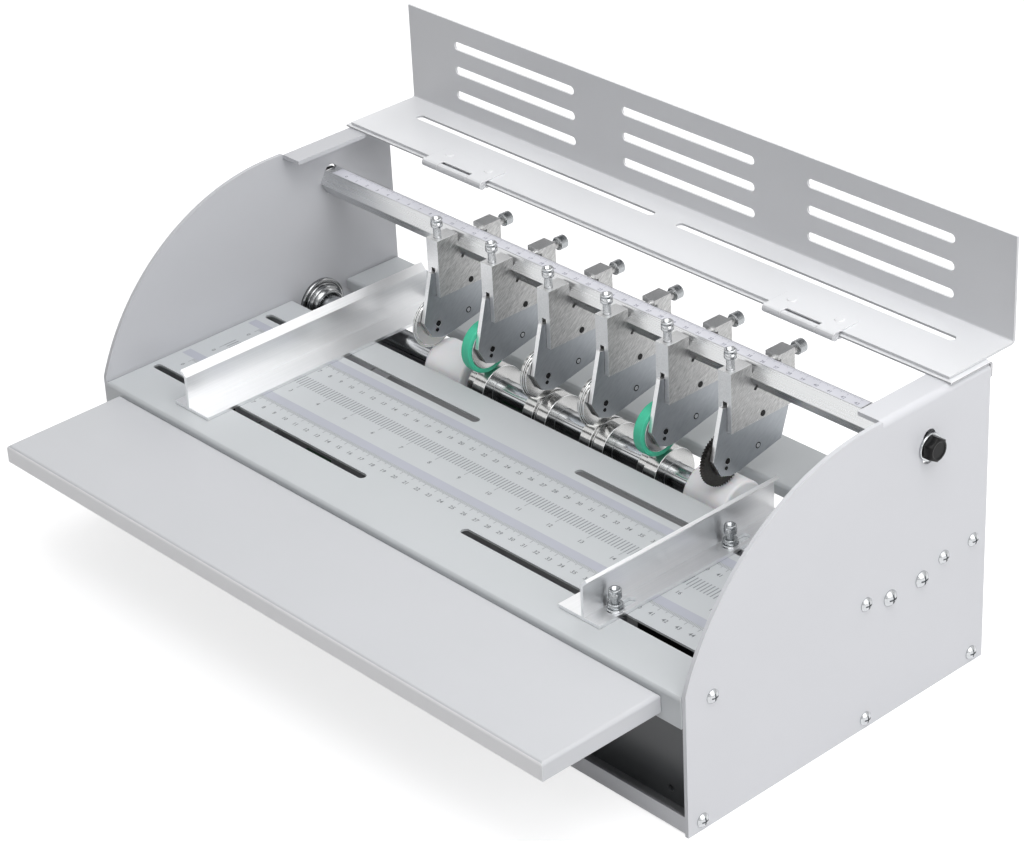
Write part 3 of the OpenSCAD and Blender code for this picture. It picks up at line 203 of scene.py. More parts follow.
# Paler coat for rounded edges: painted highlight
edge_painted_highlight_coat = powder_coat("powder coat with painted edge highlight", ("#F0F0F2", "#F6F6F8"), (0.22, 0.28))
painted_light_and_shade_coats = (tray_painted_shade_coat, crossbar_painted_shade_coat, left_panel_painted_shade_coat, cover_top_painted_light_coat, base_floor_painted_shade_coat, tray_lip_painted_highlight_coat, edge_painted_highlight_coat)
print("paints:", len(finishes) + len(painted_light_and_shade_coats))

# %% [markdown]
# ## Bare and plated steel
# A metal's look is mostly its surface marks. A belt sander leaves parallel scratches, so one noise is stretched along
# the sanding direction: a few times on the blocks, and a hundred times on the brushed guides. A lathe leaves fine
# rings, which spread each highlight along the axle, and ground steel has almost no marks at all.

# %% Metals
# Noise up to the first value leaves no mark, and from the second on it leaves a full one
STRONG_FROM, STRONG_TO = 0.3, 0.7
RING_SPREAD, QUARTER_TURN = 0.95, 0.25


def worked_metal(name, colours, roughness, grain_mm, long_mm, turn=(0, 0, 0), bump_mm=0.0, axle=None):
    """Metal with marks grain_mm apart and long_mm long, laid along the turned X axis. With an axle along X, the rings
    turned round it spread each highlight along it."""
    material, tree, shader, where = new_material(name, colours[0], 1.0, roughness[0])
    laid = add(tree, "ShaderNodeMapping", {"Rotation": turn}, {"Vector": where}).outputs["Vector"]
    scale = (per(long_mm), per(grain_mm), per(grain_mm))
    stretched = add(tree, "ShaderNodeMapping", {"Scale": scale}, {"Vector": laid}).outputs["Vector"]
    grain = add(tree, "ShaderNodeTexNoise", {"Scale": 1.0, "Detail": 4.0}, {"Vector": stretched}).outputs["Fac"]
    contrast = {"From Min": STRONG_FROM, "From Max": STRONG_TO}
    strong = add(tree, "ShaderNodeMapRange", contrast, {"Value": grain}).outputs["Result"]
    vary(tree, shader, strong, colours, roughness, bump_mm)
    if axle:
        lever = add(tree, "ShaderNodeMapping", {"Location": (0, -axle.y, -axle.z)}, {"Vector": where}).outputs["Vector"]
        ring = add(tree, "ShaderNodeVectorMath", {1: (1, 0, 0)}, {0: lever}, operation="CROSS_PRODUCT")
        tree.links.new(ring.outputs["Vector"], shader.inputs["Tangent"])
        shader.inputs["Anisotropic"].default_value = RING_SPREAD
        shader.inputs["Anisotropic Rotation"].default_value = QUARTER_TURN
    return material


AXLE = sum((Vector(v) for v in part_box("drive_shaft")), Vector()) / 2
ALONG_Y = (0, 0, math.radians(90))
SANDED = (0, math.radians(90), math.radians(-52))
finishes.update({
    "sanded_steel": worked_metal("sanded plated steel", ("#999999", "#DCDCDB"), (0.40, 0.56), 0.45, 3.5, SANDED, 0.004),
    "arm_steel": worked_metal("blue-grey plated steel", ("#9DA1A6", "#A9ADB1"), (0.36, 0.42), 1.2, 5, SANDED, 0.001),
    "brushed_guide": worked_metal("brushed stainless steel", ("#F2F3F4", "#F9F9FA"), (0.30, 0.36), 0.5, 60, ALONG_Y,
                                  0.0005),
    "bright_steel": worked_metal("ground steel", ("#C4C5C6", "#D0D1D2"), (0.10, 0.16), 0.4, 40),
    "tool_steel": worked_metal("turned steel", ("#B4B4B3", "#C4C4C3"), (0.12, 0.18), 200, 0.6),
    "dark_steel": worked_metal("blackened steel", ("#3A3938", "#4C4A48"), (0.38, 0.50), 0.6, 2),
    "zinc": worked_metal("bright zinc plate", ("#B8BABC", "#C9CBCD"), (0.16, 0.26), 0.8, 0.8),
})
# Paler face for the blocks' fronts and tops: milled, with a painted reflection
milled_face_painted_reflection = worked_metal("milled face with painted reflection", ("#DCDCDC", "#F0F0F0"), (0.34, 0.46), 0.5, 2, SANDED, 0.002)
# Near-white steel for cut and rounded edges: painted highlight
cut_edge_painted_highlight = worked_metal("cut steel edge with painted highlight", ("#F0F1F2", "#FAFAFA"), (0.30, 0.38), 0.5, 4)
bearing_steel = worked_metal("bearing steel", ("#8C8D8E", "#A2A3A4"), (0.16, 0.26), 0.4, 0.4)
shaft_steel = worked_metal("ground shaft steel", ("#BCBEC0", "#C0C2C4"), (0.14, 0.15), 200, 4, axle=AXLE)
roller_steel = worked_metal("turned roller steel", ("#C2C2C1", "#CBCBCA"), (0.18, 0.20), 200, 1.2, axle=AXLE)
bar_steel = worked_metal("drawn bar steel", ("#DADBDC", "#E2E3E4"), (0.26, 0.30), 0.5, 60)
knurled_steel = worked_metal("darkened knurled steel", ("#A0A3A5", "#B5B8BA"), (0.22, 0.34), 0.6, 0.6)
print("finishes with metals:", len(finishes))

# %% [markdown]
# ## Plastics and rubber
# Turned nylon lets a little light in under its skin, which rounds its shading. Cast urethane tyres are smooth and
# saturated. Moulded black parts have a fine spark-eroded texture.

# %% Plastics and rubber
def moulded(name, colours, roughness, grain_mm, bump_mm, **shader_values):
    material, tree, shader, where = new_material(name, colours[0], 0.0, roughness[0], **shader_values)
    grain = add(tree, "ShaderNodeTexNoise", {"Scale": per(grain_mm), "Detail": 3.0}, {"Vector": where}).outputs["Fac"]
    vary(tree, shader, grain, colours, roughness, bump_mm)
    return material


finishes.update({
    "nylon": moulded("turned nylon", ("#F9F9FC", "#FCFCFE"), (0.34, 0.42), 2.0, 0.004, Subsurface_Weight=0.15,
                     Subsurface_Scale=1.5 * MM),
    "green_rubber": moulded("green urethane", ("#43C49D", "#4CCFA9"), (0.34, 0.42), 1.5, 0.004),
    "belt_rubber": moulded("belt rubber", ("#1A1A1B", "#222224"), (0.6, 0.7), 0.8, 0.01),
    "black_plastic": moulded("black moulded plastic", ("#19191B", "#202022"), (0.45, 0.55), 0.5, 0.006),
    "black_bolt": moulded("black oxide", ("#030304", "#070708"), (0.30, 0.40), 0.8, 0.003, Specular_IOR_Level=0.2),
    "board": moulded("circuit board lacquer", ("#0E4A26", "#14592F"), (0.25, 0.35), 2.0, 0.002),
})
missing = sorted(set(slot_of_node.values()) - set(finishes))
print("finishes:", len(finishes), "slots without one:", missing)

# %% [markdown]
# ## From CAD mesh to a finished part
# CAD gives exact surfaces with razor-sharp edges, which no real sheet has: cutting, bending and paint leave a radius of
# a few tenths of a millimetre, and that thin edge is what catches the light. So each part is a merged copy of its CAD
# mesh with a small Bevel, and it stands for its node. Parts that are fine as they are only get a material.

# %% Softened copies of the CAD parts
def new_piece(name, mesh, node=None, body=None):
    """Links a mesh as a piece that rides on a body, and may stand for a node."""
    piece = bpy.data.objects.new(name, mesh)
    bpy.context.scene.collection.objects.link(piece)
    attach(piece, body or body_of_node[node])
    if node:
        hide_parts(node)
    return piece


MERGE_MM, FLAT_DEG, SHARP_DEG, EDGE_STEPS = 0.002, 0.4, 32, 2
PLAIN, ROUNDED, SPECIAL, SCREW = range(4)


def softened(name, node, materials, edge_mm, pick=None):
    """A copy of a CAD node with rounded edges in its place. Its materials are the plain one, the rounded edge's painted
    highlight and special ones, and pick chooses among them for each face."""
    mesh = nodes[node].data.copy()
    mesh.materials.clear()
    for material in materials:
        mesh.materials.append(material)
    work = bmesh.new()
    work.from_mesh(mesh)
    bmesh.ops.remove_doubles(work, verts=work.verts, dist=MERGE_MM * MM)
    bmesh.ops.dissolve_limit(work, angle_limit=math.radians(FLAT_DEG), verts=work.verts, edges=work.edges)
    for face in work.faces:
        face.material_index = pick(face) if pick else PLAIN
        face.smooth = True
    work.to_mesh(mesh)
    work.free()
    if "custom_normal" in mesh.attributes:
        mesh.attributes.remove(mesh.attributes["custom_normal"])
    piece = new_piece(name, mesh, node)
    bevel = piece.modifiers.new("edge", "BEVEL")
    bevel.width, bevel.segments, bevel.limit_method = edge_mm * MM, EDGE_STEPS, "ANGLE"
    bevel.angle_limit, bevel.harden_normals, bevel.use_clamp_overlap = math.radians(SHARP_DEG), True, True
    bevel.material = ROUNDED if len(materials) > 1 else -1


# %% Which face gets which finish
FRONT_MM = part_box("right_side_panel")[0][1] / MM
BAR_LOW, BAR_HIGH = (Vector(v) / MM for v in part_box("tool_bar"))
BAR_Y, BAR_Z = (BAR_LOW.y + BAR_HIGH.y) / 2, (BAR_LOW.z + BAR_HIGH.z) / 2
BLOCK_BACK_MM = 27.3
LEVEL, BLOCK_TOP, FRONTAL, SIDEWAYS = 0.7, 0.8, -0.7, 0.5


def block_face(face):
    """The block's front and top get a paler milled coat, which also paints in the bright reflection these faces show,
    and the clamp screw behind it is darker.
    """
    if face.calc_center_median().y > (BAR_Y + BLOCK_BACK_MM) * MM:
        return SCREW
    return SPECIAL if face.normal.y < FRONTAL or face.normal.z > BLOCK_TOP else PLAIN


def arm_face(face):
    """The arm's two sides keep the plating, and its sawn rim is bare steel, painted near white as a highlight."""
    return PLAIN if abs(face.normal.x) > SIDEWAYS else ROUNDED


def cover_face(face):
    """The cover's level part gets a lighter coat, painted light for the lamps above it, and its upright part, which
    turns away from them, keeps the plain coat.
    """
    return SPECIAL if face.normal.z > LEVEL else PLAIN


def floor_face(face):
    """The base's floor lies in the machine's own shade, which a darker coat paints in."""
    return SPECIAL if face.normal.z > LEVEL else PLAIN


def lip_face(face):
    """The tray's front lip, which gets a pale coat as a painted highlight."""
    return SPECIAL if face.normal.y < FRONTAL else PLAIN


# %% Softening or painting each CAD node
EDGES_MM = {"painted_panel": 0.4, "painted_sheet": 0.6, "painted_cover": 0.35, "brushed_guide": 0.4,
            "sanded_steel": 0.35, "arm_steel": 0.3, "nylon": 1.8, "green_rubber": 0.9, "tool_steel": 0.3}
# Rounded edges get a paler material, which paints in the highlight an edge catches
RIM = {"painted_panel": edge_painted_highlight_coat, "painted_sheet": edge_painted_highlight_coat, "painted_cover": edge_painted_highlight_coat, "brushed_guide": cut_edge_painted_highlight,
       "sanded_steel": cut_edge_painted_highlight, "arm_steel": cut_edge_painted_highlight, "tool_steel": cut_edge_painted_highlight}
# Faces that get a copy of their finish with painted highlight, reflection, light or shade
FACES = {"sanded_steel": ([milled_face_painted_reflection, knurled_steel], block_face), "arm_steel": ([], arm_face),
         "base_tray": ([base_floor_painted_shade_coat], floor_face), "painted_cover": ([cover_top_painted_light_coat], cover_face),
         "front_tray": ([tray_lip_painted_highlight_coat], lip_face)}
# The tray, crossbar and left panel get darker copies of their coat as painted shade
OWN_FINISH = {"drive_shaft": shaft_steel, "steel_rollers": roller_steel, "front_tray": tray_painted_shade_coat,
              "top_crossbar": crossbar_painted_shade_coat, "left_side_panel": left_panel_painted_shade_coat, "tool_bar": bar_steel}
rebuilt = [n for n in nodes if "adjuster" in n or n.endswith("guide_screws") or n in ("bar_bolts", "shaft_bearings")]
for node, obj in nodes.items():
    slot = slot_of_node[node]
    finish = OWN_FINISH.get(node, finishes[slot])
    if node in rebuilt:
        continue
    if slot in EDGES_MM:
        more, pick = FACES.get(node, FACES.get(slot, ([], None)))
        rim = [RIM[slot]] if slot in RIM else []
        softened(node + "_soft", node, [finish, *rim, *more], EDGES_MM[slot], pick)
    else:
        obj.data.materials.clear()
        obj.data.materials.append(finish)
        obj.data.polygons.foreach_set("material_index", [0] * len(obj.data.polygons))
print("softened:", sum(slot_of_node[n] in EDGES_MM for n in nodes), "nodes to rebuild:", len(rebuilt))

# %% [markdown]
# ## Turned screws
# A knurled cap screw is turned on a lathe, so its side view is one profile swept round an axis. The knurl is a ring of
# small teeth, made by letting the radius rise and fall from one point of the ring to the next. The socket is the same
# ring pulled onto a hexagon. Thread shows as narrow rings here, because at this size its slope can't be seen.

# %% Turning rings into a screw
RING = 72
KNURL_MM = 0.22
HEX_DEG = 30


def ring_radius(kind, r_mm, i):
    """Radius of point i of a ring: plain, knurled or hexagonal."""
    if kind == "knurl":
        return r_mm - (KNURL_MM if i % 2 else 0.0)
    if kind == "hex":
        turn = (i / RING * 360) % (2 * HEX_DEG) - HEX_DEG
        return r_mm * math.cos(math.radians(HEX_DEG)) / math.cos(math.radians(turn))
    return r_mm


def turned(work, place, profile, material_index=0, bored=False):
    """Sweeps (kind, radius, height) stations round place's Z axis. A flat closes each end, or a bore joins them."""
    rings = []
    for kind, r_mm, z_mm in profile:
        ring = []
        for i in range(RING):
            angle = 2 * math.pi * i / RING
            r = ring_radius(kind, r_mm, i) * MM
            ring.append(work.verts.new(place @ Vector((r * math.cos(angle), r * math.sin(angle), z_mm * MM))))
        rings.append(ring)
    pairs = list(zip(rings, rings[1:])) + ([(rings[-1], rings[0])] if bored else [])
    faces = [work.faces.new((a[i], a[(i + 1) % RING], b[(i + 1) % RING], b[i]))
             for a, b in pairs for i in range(RING)]
    if not bored:
        faces += [work.faces.new(list(reversed(rings[0]))), work.faces.new(rings[-1])]
    for face in faces:
        face.material_index = material_index
        face.smooth = len(face.verts) == 4


# Each station of one turn of thread: its share of the pitch and of the depth
THREAD = ((0.1, 0), (0.5, 1), (0.9, 0))


def threaded(low_mm, high_mm, r_mm, pitch_mm=0.8, depth_mm=0.35):
    """Stations of a threaded stretch from low to high."""
    turns = int((high_mm - low_mm) / pitch_mm)
    start = high_mm - turns * pitch_mm
    stations = [("plain", r_mm, low_mm)]
    for i in range(turns):
        z = start + i * pitch_mm
        stations += [("plain", r_mm - deep * depth_mm, z + along * pitch_mm) for along, deep in THREAD]
    return stations


# Shares are of the head's radius, or of its height for the neck and the socket's depth. Edges are measured in rims
TIP_MM, CROWN_MM, RIM_SHARE, SOCKET_SHARE, SOCKET_TIP_SHARE = 0.4, 0.1, 0.1, 0.6, 0.1
NECK_SHARES, SOCKET_DEPTH_SHARES = (0.56, 0.60, 0.68, 0.73), (0.55, 0.62)
NECK_RIMS, KNURL_RIMS, TOP_RIMS = 1.2, 1.4, 1.3


def cap_profile(low_mm, head_low_mm, top_mm, shank_mm, head_mm, thread_from_mm):
    """A knurled socket screw from its tip to the floor of its socket."""
    rim, head_h = RIM_SHARE * head_mm, top_mm - head_low_mm
    crown, neck, socket = head_mm - CROWN_MM, head_mm - NECK_RIMS * rim, SOCKET_SHARE * head_mm
    knurl_top, neck_low, neck_high, crown_low = (head_low_mm + s * head_h for s in NECK_SHARES)
    socket_low, socket_tip = (top_mm - s * head_h for s in SOCKET_DEPTH_SHARES)
    return [("plain", shank_mm - TIP_MM, low_mm), ("plain", shank_mm, low_mm + TIP_MM),
            *threaded(thread_from_mm, head_low_mm, shank_mm), ("plain", shank_mm, head_low_mm),
            ("plain", head_mm - rim, head_low_mm), ("plain", crown, head_low_mm + rim),
            ("knurl", head_mm, head_low_mm + KNURL_RIMS * rim), ("knurl", head_mm, knurl_top),
            ("plain", neck, neck_low), ("plain", neck, neck_high), ("plain", crown, crown_low),
            ("plain", crown, top_mm - rim), ("plain", head_mm - TOP_RIMS * rim, top_mm), ("hex", socket, top_mm),
            ("hex", socket, socket_low), ("plain", SOCKET_TIP_SHARE * head_mm, socket_tip)]


def closed_mesh(name, work, materials):
    """Turns a bmesh into a mesh with outward normals."""
    bmesh.ops.recalc_face_normals(work, faces=work.faces)
    mesh = bpy.data.meshes.new(name)
    work.to_mesh(mesh)
    work.free()
    for material in materials:
        mesh.materials.append(material)
    return mesh


def at(x, y, z=0.0):
    return Matrix.Translation(Vector((x, y, z)))


def facing_x(x_mm, y_mm, z_mm, side=1):
    """A place whose Z axis points along X, to the given side."""
    return at(x_mm * MM, y_mm * MM, z_mm * MM) @ Matrix.Rotation(side * math.pi / 2, 4, "Y")


# %% Adjusting screws of the heads
HEAD_MM, SHANK_MM, HEAD_H_MM, BLOCK_RISE_MM, DOG_R_MM, DOG_H_MM = 3.7, 2.4, 5.6, 6.0, 0.9, 1.6
for node in (n for n in rebuilt if "adjuster" in n):
    low, high = (Vector(v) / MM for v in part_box(node))
    middle = (low + high) / 2
    head_low, dog_top = high.z - HEAD_H_MM, low.z + DOG_H_MM
    work = bmesh.new()
    turned(work, at(middle.x * MM, middle.y * MM), [
        ("plain", DOG_R_MM, low.z), ("plain", DOG_R_MM, dog_top),
        *cap_profile(dog_top, head_low, high.z, SHANK_MM, HEAD_MM, head_low - BLOCK_RISE_MM)])
    new_piece(node + "_turned", closed_mesh(node, work, [finishes["zinc"]]), node)
print("adjusting screws:", sum("adjuster" in n for n in rebuilt))

# %% [markdown]
# The bar is held by one black hexagon bolt on a washer in each side panel. A bearing housing is turned with a flange, a
# step and a nose. Each arm shows its black axle screws and a bright dowel, and each block the end of its pivot.

# %% Bolts, bearings and pins
BOLT_AF_MM, BOLT_HEAD_MM, BOLT_R_MM, BOLT_REACH_MM = 13.0, 5.4, 4.9, 19.0
WASHER_R_MM, WASHER_T_MM, WASHER_EDGE_MM, WASHER_CLEAR_MM = 8.3, 1.6, 0.3, 0.02
HEX_EDGE_MM, HEX_CROWN_MM = 0.2, 1.1
# Each station of the bolt's domed end: how far in from its flats and down from its top
DOME_MM = ((0.3, 0.1), (0.9, 0), (1.6, 0), (2.0, 0.4))
BLACK, BRIGHT = 0, 1
side_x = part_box("right_side_panel")[1][0] / MM
work = bmesh.new()
for side in (-1, 1):
    place = facing_x(side * side_x, BAR_Y, BAR_Z, side)
    inner = WASHER_R_MM - WASHER_EDGE_MM
    turned(work, place, [("plain", inner, WASHER_CLEAR_MM), ("plain", WASHER_R_MM, WASHER_EDGE_MM),
                         ("plain", WASHER_R_MM, WASHER_T_MM - WASHER_EDGE_MM), ("plain", inner, WASHER_T_MM)], BRIGHT)
    flat, top = BOLT_AF_MM / 2, WASHER_T_MM + BOLT_HEAD_MM
    corner = flat / math.cos(math.radians(HEX_DEG))
    turned(work, place, [("plain", BOLT_R_MM, -BOLT_REACH_MM), ("plain", BOLT_R_MM, WASHER_T_MM),
                         ("hex", corner - HEX_EDGE_MM, WASHER_T_MM), ("hex", corner, WASHER_T_MM + HEX_EDGE_MM),
                         ("hex", corner, top - HEX_CROWN_MM),
                         *(("plain", flat - inward, top - down) for inward, down in DOME_MM)])
new_piece("bar_bolts_turned", closed_mesh("bar_bolts", work, [finishes["black_bolt"], finishes["zinc"]]), "bar_bolts")

bearing_low, bearing_high = (Vector(v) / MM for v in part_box("shaft_bearings"))
SHAFT_Y, SHAFT_Z = (bearing_low.y + bearing_high.y) / 2, (bearing_low.z + bearing_high.z) / 2
FLANGE_R = (bearing_high.z - bearing_low.z) / 2
# Radii are shares of the flange's, save the bore's in millimetres, and heights are millimetres from the panel
BORE_R_MM = 6.3
HOUSING = [(1.0, 0.0), (1.0, 2.0), (0.94, 2.6), (0.86, 2.6), (0.85, 2.2), (0.80, 2.2), (0.79, 3.4), (0.78, 6.2),
           (0.74, 6.6), (0.70, 6.6), (0.69, 9.0), (0.65, 9.4), (0.56, 9.4), (0.54, 8.4)]
work = bmesh.new()
for side in (-1, 1):
    profile = [("plain", BORE_R_MM, HOUSING[0][1]), *(("plain", share * FLANGE_R, z) for share, z in HOUSING),
               ("plain", BORE_R_MM, HOUSING[-1][1])]
    turned(work, facing_x(side * bearing_high.x, SHAFT_Y, SHAFT_Z, -side), profile, bored=True)
new_piece("bearings_turned", closed_mesh("bearings", work, [bearing_steel]), "shaft_bearings")

HEADS = range(1, 7)
PIVOT_Y, PIVOT_Z, PIVOT_R, PIN_PROUD = 0.5, -26.8, 1.95, 0.12
PIN_FROM_MM, ARM_FACE_MM = 1.3, 1.5
for i in HEADS:
    low, high = (Vector(v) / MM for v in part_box(f"head_block_{i}"))
    work = bmesh.new()
    turned(work, facing_x(0, BAR_Y + PIVOT_Y, BAR_Z + PIVOT_Z), [("plain", PIVOT_R, low.x - PIN_PROUD),
                                                                ("plain", PIVOT_R, high.x + PIN_PROUD)])
    new_piece(f"pivot_end_{i}", closed_mesh("pivot", work, [finishes["black_bolt"]]), None,
              body_of_node[f"head_block_{i}"])
    wheel = next(n for n in nodes if n.endswith(f"wheel_{i}"))
    axle = sum((Vector(v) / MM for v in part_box(wheel)), Vector()) / 2
    middle = (low.x + high.x) / 2
    work = bmesh.new()
    dowel_y = BAR_Y - axle.y
    # Each pin: its place from the wheel's axle along Y and Z, its radius and its material
    pins = ((0.0, 0.0, 1.8, BLACK), (-1.3, -4.0, 1.25, BLACK), (dowel_y, 0.0, 2.0, BLACK), (dowel_y, 0.0, 1.35, BRIGHT))
    for dy, dz, r, kind in pins:
        top = middle + ARM_FACE_MM + PIN_PROUD * (1 + kind)
        profile = [("plain", r, middle + PIN_FROM_MM), ("plain", r, top)]
        turned(work, facing_x(0, axle.y + dy, axle.z + dz), profile, kind)
    new_piece(f"axle_screws_{i}", closed_mesh("axle screws", work, [finishes["black_bolt"], finishes["zinc"]]), None,
              body_of_node[f"head_arm_{i}"])
print("flange radius:", round(FLANGE_R, 1), "axle above floor:", round(axle.z, 1))

# %% [markdown]
# The guides are held by the same screws. Each has a washer and a knurled collar on the guide's foot, and a square nut
# that slides along under the slot.

# %% Screws of the side guides
CHAMFER_SHARE = 0.12


def square_nut(work, place, side_mm, low_mm, high_mm):
    """A square nut with cut corners, its axis along place's Z."""
    half = side_mm / 2
    inner = half - CHAMFER_SHARE * side_mm
    outline = [(half, -inner), (half, inner), (inner, half), (-inner, half), (-half, inner), (-half, -inner),
               (-inner, -half), (inner, -half)]
    low_ring, high_ring = ([work.verts.new(place @ Vector((x * MM, y * MM, z * MM))) for x, y in outline]
                           for z in (low_mm, high_mm))
    for i in range(len(outline)):
        after = (i + 1) % len(outline)
        work.faces.new((low_ring[i], low_ring[after], high_ring[after], high_ring[i]))
    work.faces.new(list(reversed(low_ring)))
    work.faces.new(high_ring)


TABLE_TOP_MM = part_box("feed_table")[1][2] / MM
FOOT_T_MM, NUT_CLEAR_MM, NUT_MM, NUT_H_MM = 2.2, 0.2, 10.0, 3.0
FOOT_TOP_MM = TABLE_TOP_MM + FOOT_T_MM
DISC_R_MM, DISC_T_MM, DISC_EDGE_MM, COLLAR_R_MM, COLLAR_H_MM = 5.0, 1.2, 0.2, 4.25, 3.0
COLLAR_EDGE_MM, COLLAR_LOW_IN_MM, COLLAR_TOP_IN_MM = 0.4, 0.3, 0.5
for node in (n for n in rebuilt if n.endswith("guide_screws")):
    low, high = (Vector(v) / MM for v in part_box(node))
    x = (low.x + high.x) / 2
    work = bmesh.new()
    nut_low = low.z + NUT_CLEAR_MM
    nut_top, disc_top = nut_low + NUT_H_MM, FOOT_TOP_MM + DISC_T_MM
    collar_top = disc_top + COLLAR_H_MM
    for y in (low.y + NUT_MM / 2, high.y - NUT_MM / 2):
        place = at(x * MM, y * MM)
        square_nut(work, place, NUT_MM, nut_low, nut_top)
        turned(work, place, [("plain", DISC_R_MM, FOOT_TOP_MM), ("plain", DISC_R_MM, disc_top - DISC_EDGE_MM),
                             ("plain", DISC_R_MM - DISC_EDGE_MM, disc_top)])
        turned(work, place, [("knurl", COLLAR_R_MM - COLLAR_LOW_IN_MM, disc_top),
                             ("knurl", COLLAR_R_MM, disc_top + COLLAR_EDGE_MM),
                             ("knurl", COLLAR_R_MM, collar_top - COLLAR_EDGE_MM),
                             ("plain", COLLAR_R_MM - COLLAR_TOP_IN_MM, collar_top)], 1)
        turned(work, place, cap_profile(low.z, high.z - HEAD_H_MM, high.z, SHANK_MM, HEAD_MM, nut_top), 1)
    new_piece(node + "_turned", closed_mesh(node, work, [finishes["zinc"], knurled_steel]), node)
print("guide screws:", 2 * sum(n.endswith("guide_screws") for n in rebuilt))

# %% [markdown]
# ## Printed rulers
# Two centimetre rulers and one inch ruler are printed across the table, and a white strip with a centimetre scale lies
# on top of the hexagonal bar. Ink is a raised layer a few hundredths of a millimetre thick. A tick mark is the same
# small box over and over, which is work for Geometry Nodes: a line of points at the ruler's pitch with a box on each.

# %% Ink and film
ink_pale = moulded("pale grey ink", ("#8C9095", "#93979C"), (0.45, 0.55), 0.8, 0.001)
ink_dark = moulded("grey ink", ("#6E7276", "#767A7E"), (0.45, 0.55), 0.8, 0.001)
band_ink = moulded("lavender grey ink", ("#B2B5BC", "#B9BBC8"), (0.42, 0.52), 25, 0.001)
film_white = moulded("white ruler film", ("#E2E3EB", "#EAEAF1"), (0.28, 0.36), 12, 0.001)
film_ink = moulded("film ink", ("#8E8E9C", "#9898A6"), (0.40, 0.50), 0.8, 0.001)
INKS = [ink_pale, ink_dark, band_ink, film_white, film_ink]
PALE, DARK, BAND, FILM, FILM_INK = range(5)
print("inks:", len(INKS))

# %% A node tree that prints a row of ticks
ticks = bpy.data.node_groups.new("printed ticks", "GeometryNodeTree")
ticks.interface.new_socket("Geometry", in_out="OUTPUT", socket_type="NodeSocketGeometry")
sockets = {}
TICK_INPUTS = (("Count", "Int"), ("First", "Vector"), ("Pitch", "Vector"), ("Mark", "Vector"), ("Ink", "Material"))
for name, kind in TICK_INPUTS:
    sockets[name] = ticks.interface.new_socket(name, in_out="INPUT", socket_type="NodeSocket" + kind).identifier
given = add(ticks, "NodeGroupInput").outputs
line = add(ticks, "GeometryNodeMeshLine", {}, {"Count": given["Count"], "Start Location": given["First"],
                                                "Offset": given["Pitch"]}, mode="OFFSET")
box = add(ticks, "GeometryNodeMeshCube", {}, {"Size": given["Mark"]})
placed = add(ticks, "GeometryNodeInstanceOnPoints", {}, {"Points": line.outputs["Mesh"],
                                                          "Instance": box.outputs["Mesh"]})
real = add(ticks, "GeometryNodeRealizeInstances", {}, {0: placed.outputs["Instances"]})
inked = add(ticks, "GeometryNodeSetMaterial", {}, {"Geometry": real.outputs[0], "Material": given["Ink"]})
add(ticks, "NodeGroupOutput", {}, {0: inked.outputs[0]})
print("tick inputs:", sorted(sockets))


# %% Printing rows, bands and numbers
def gather(work, obj, material_index):
    """Adds an object's evaluated mesh to a bmesh, and deletes the object."""
    mesh = bpy.data.meshes.new_from_object(obj.evaluated_get(bpy.context.evaluated_depsgraph_get()))
    mesh.transform(obj.matrix_world)
    before = len(work.faces)
    work.from_mesh(mesh)
    work.faces.ensure_lookup_table()
    for face in work.faces[before:]:
        face.material_index = material_index
        face.smooth = False
    source = obj.data
    bpy.data.objects.remove(obj)
    bpy.data.meshes.remove(mesh)
    (bpy.data.meshes if isinstance(source, bpy.types.Mesh) else bpy.data.curves).remove(source)


def print_row(work, first_mm, pitch_mm, count, size_mm, ink):
    """A row of marks along X: the first mark's centre, the pitch and each mark's size."""
    obj = bpy.data.objects.new("row", bpy.data.meshes.new("row"))
    bpy.context.scene.collection.objects.link(obj)
    rows = obj.modifiers.new("ticks", "NODES")
    rows.node_group = ticks
    rows[sockets["Count"]] = count
    rows[sockets["First"]] = [v * MM for v in first_mm]
    rows[sockets["Pitch"]] = [pitch_mm * MM, 0.0, 0.0]
    rows[sockets["Mark"]] = [v * MM for v in size_mm]
    rows[sockets["Ink"]] = INKS[ink]
    bpy.context.view_layer.update()
    gather(work, obj, ink)


def print_number(work, text, x_mm, y_mm, z_mm, height_mm, ink):
    """A number that reads upright from the front."""
    curve = bpy.data.curves.new("number", "FONT")
    curve.body, curve.align_x, curve.align_y = text, "CENTER", "CENTER"
    curve.size, curve.extrude, curve.resolution_u = height_mm * MM / CAP_SHARE, INK_MM / 2 * MM, 2
    curve.offset = STROKE_MM * MM
    obj = bpy.data.objects.new("number", curve)
    obj.matrix_world = at(x_mm * MM, y_mm * MM, z_mm * MM)
    bpy.context.scene.collection.objects.link(obj)
    bpy.context.view_layer.update()
    gather(work, obj, ink)


CAP_SHARE, STROKE_MM = 0.72, 0.04
INK_MM, INK_CLEAR_MM = 0.02, 0.03
print("ink thickness:", INK_MM, "mm")

# %% Rulers on the table
# Each centimetre ruler: the front and back edge of its band and the middle of its numbers, from the machine's front
BANDS_MM = ((107.3, 113.7, 97.5), (54.7, 61.3, 45.3))
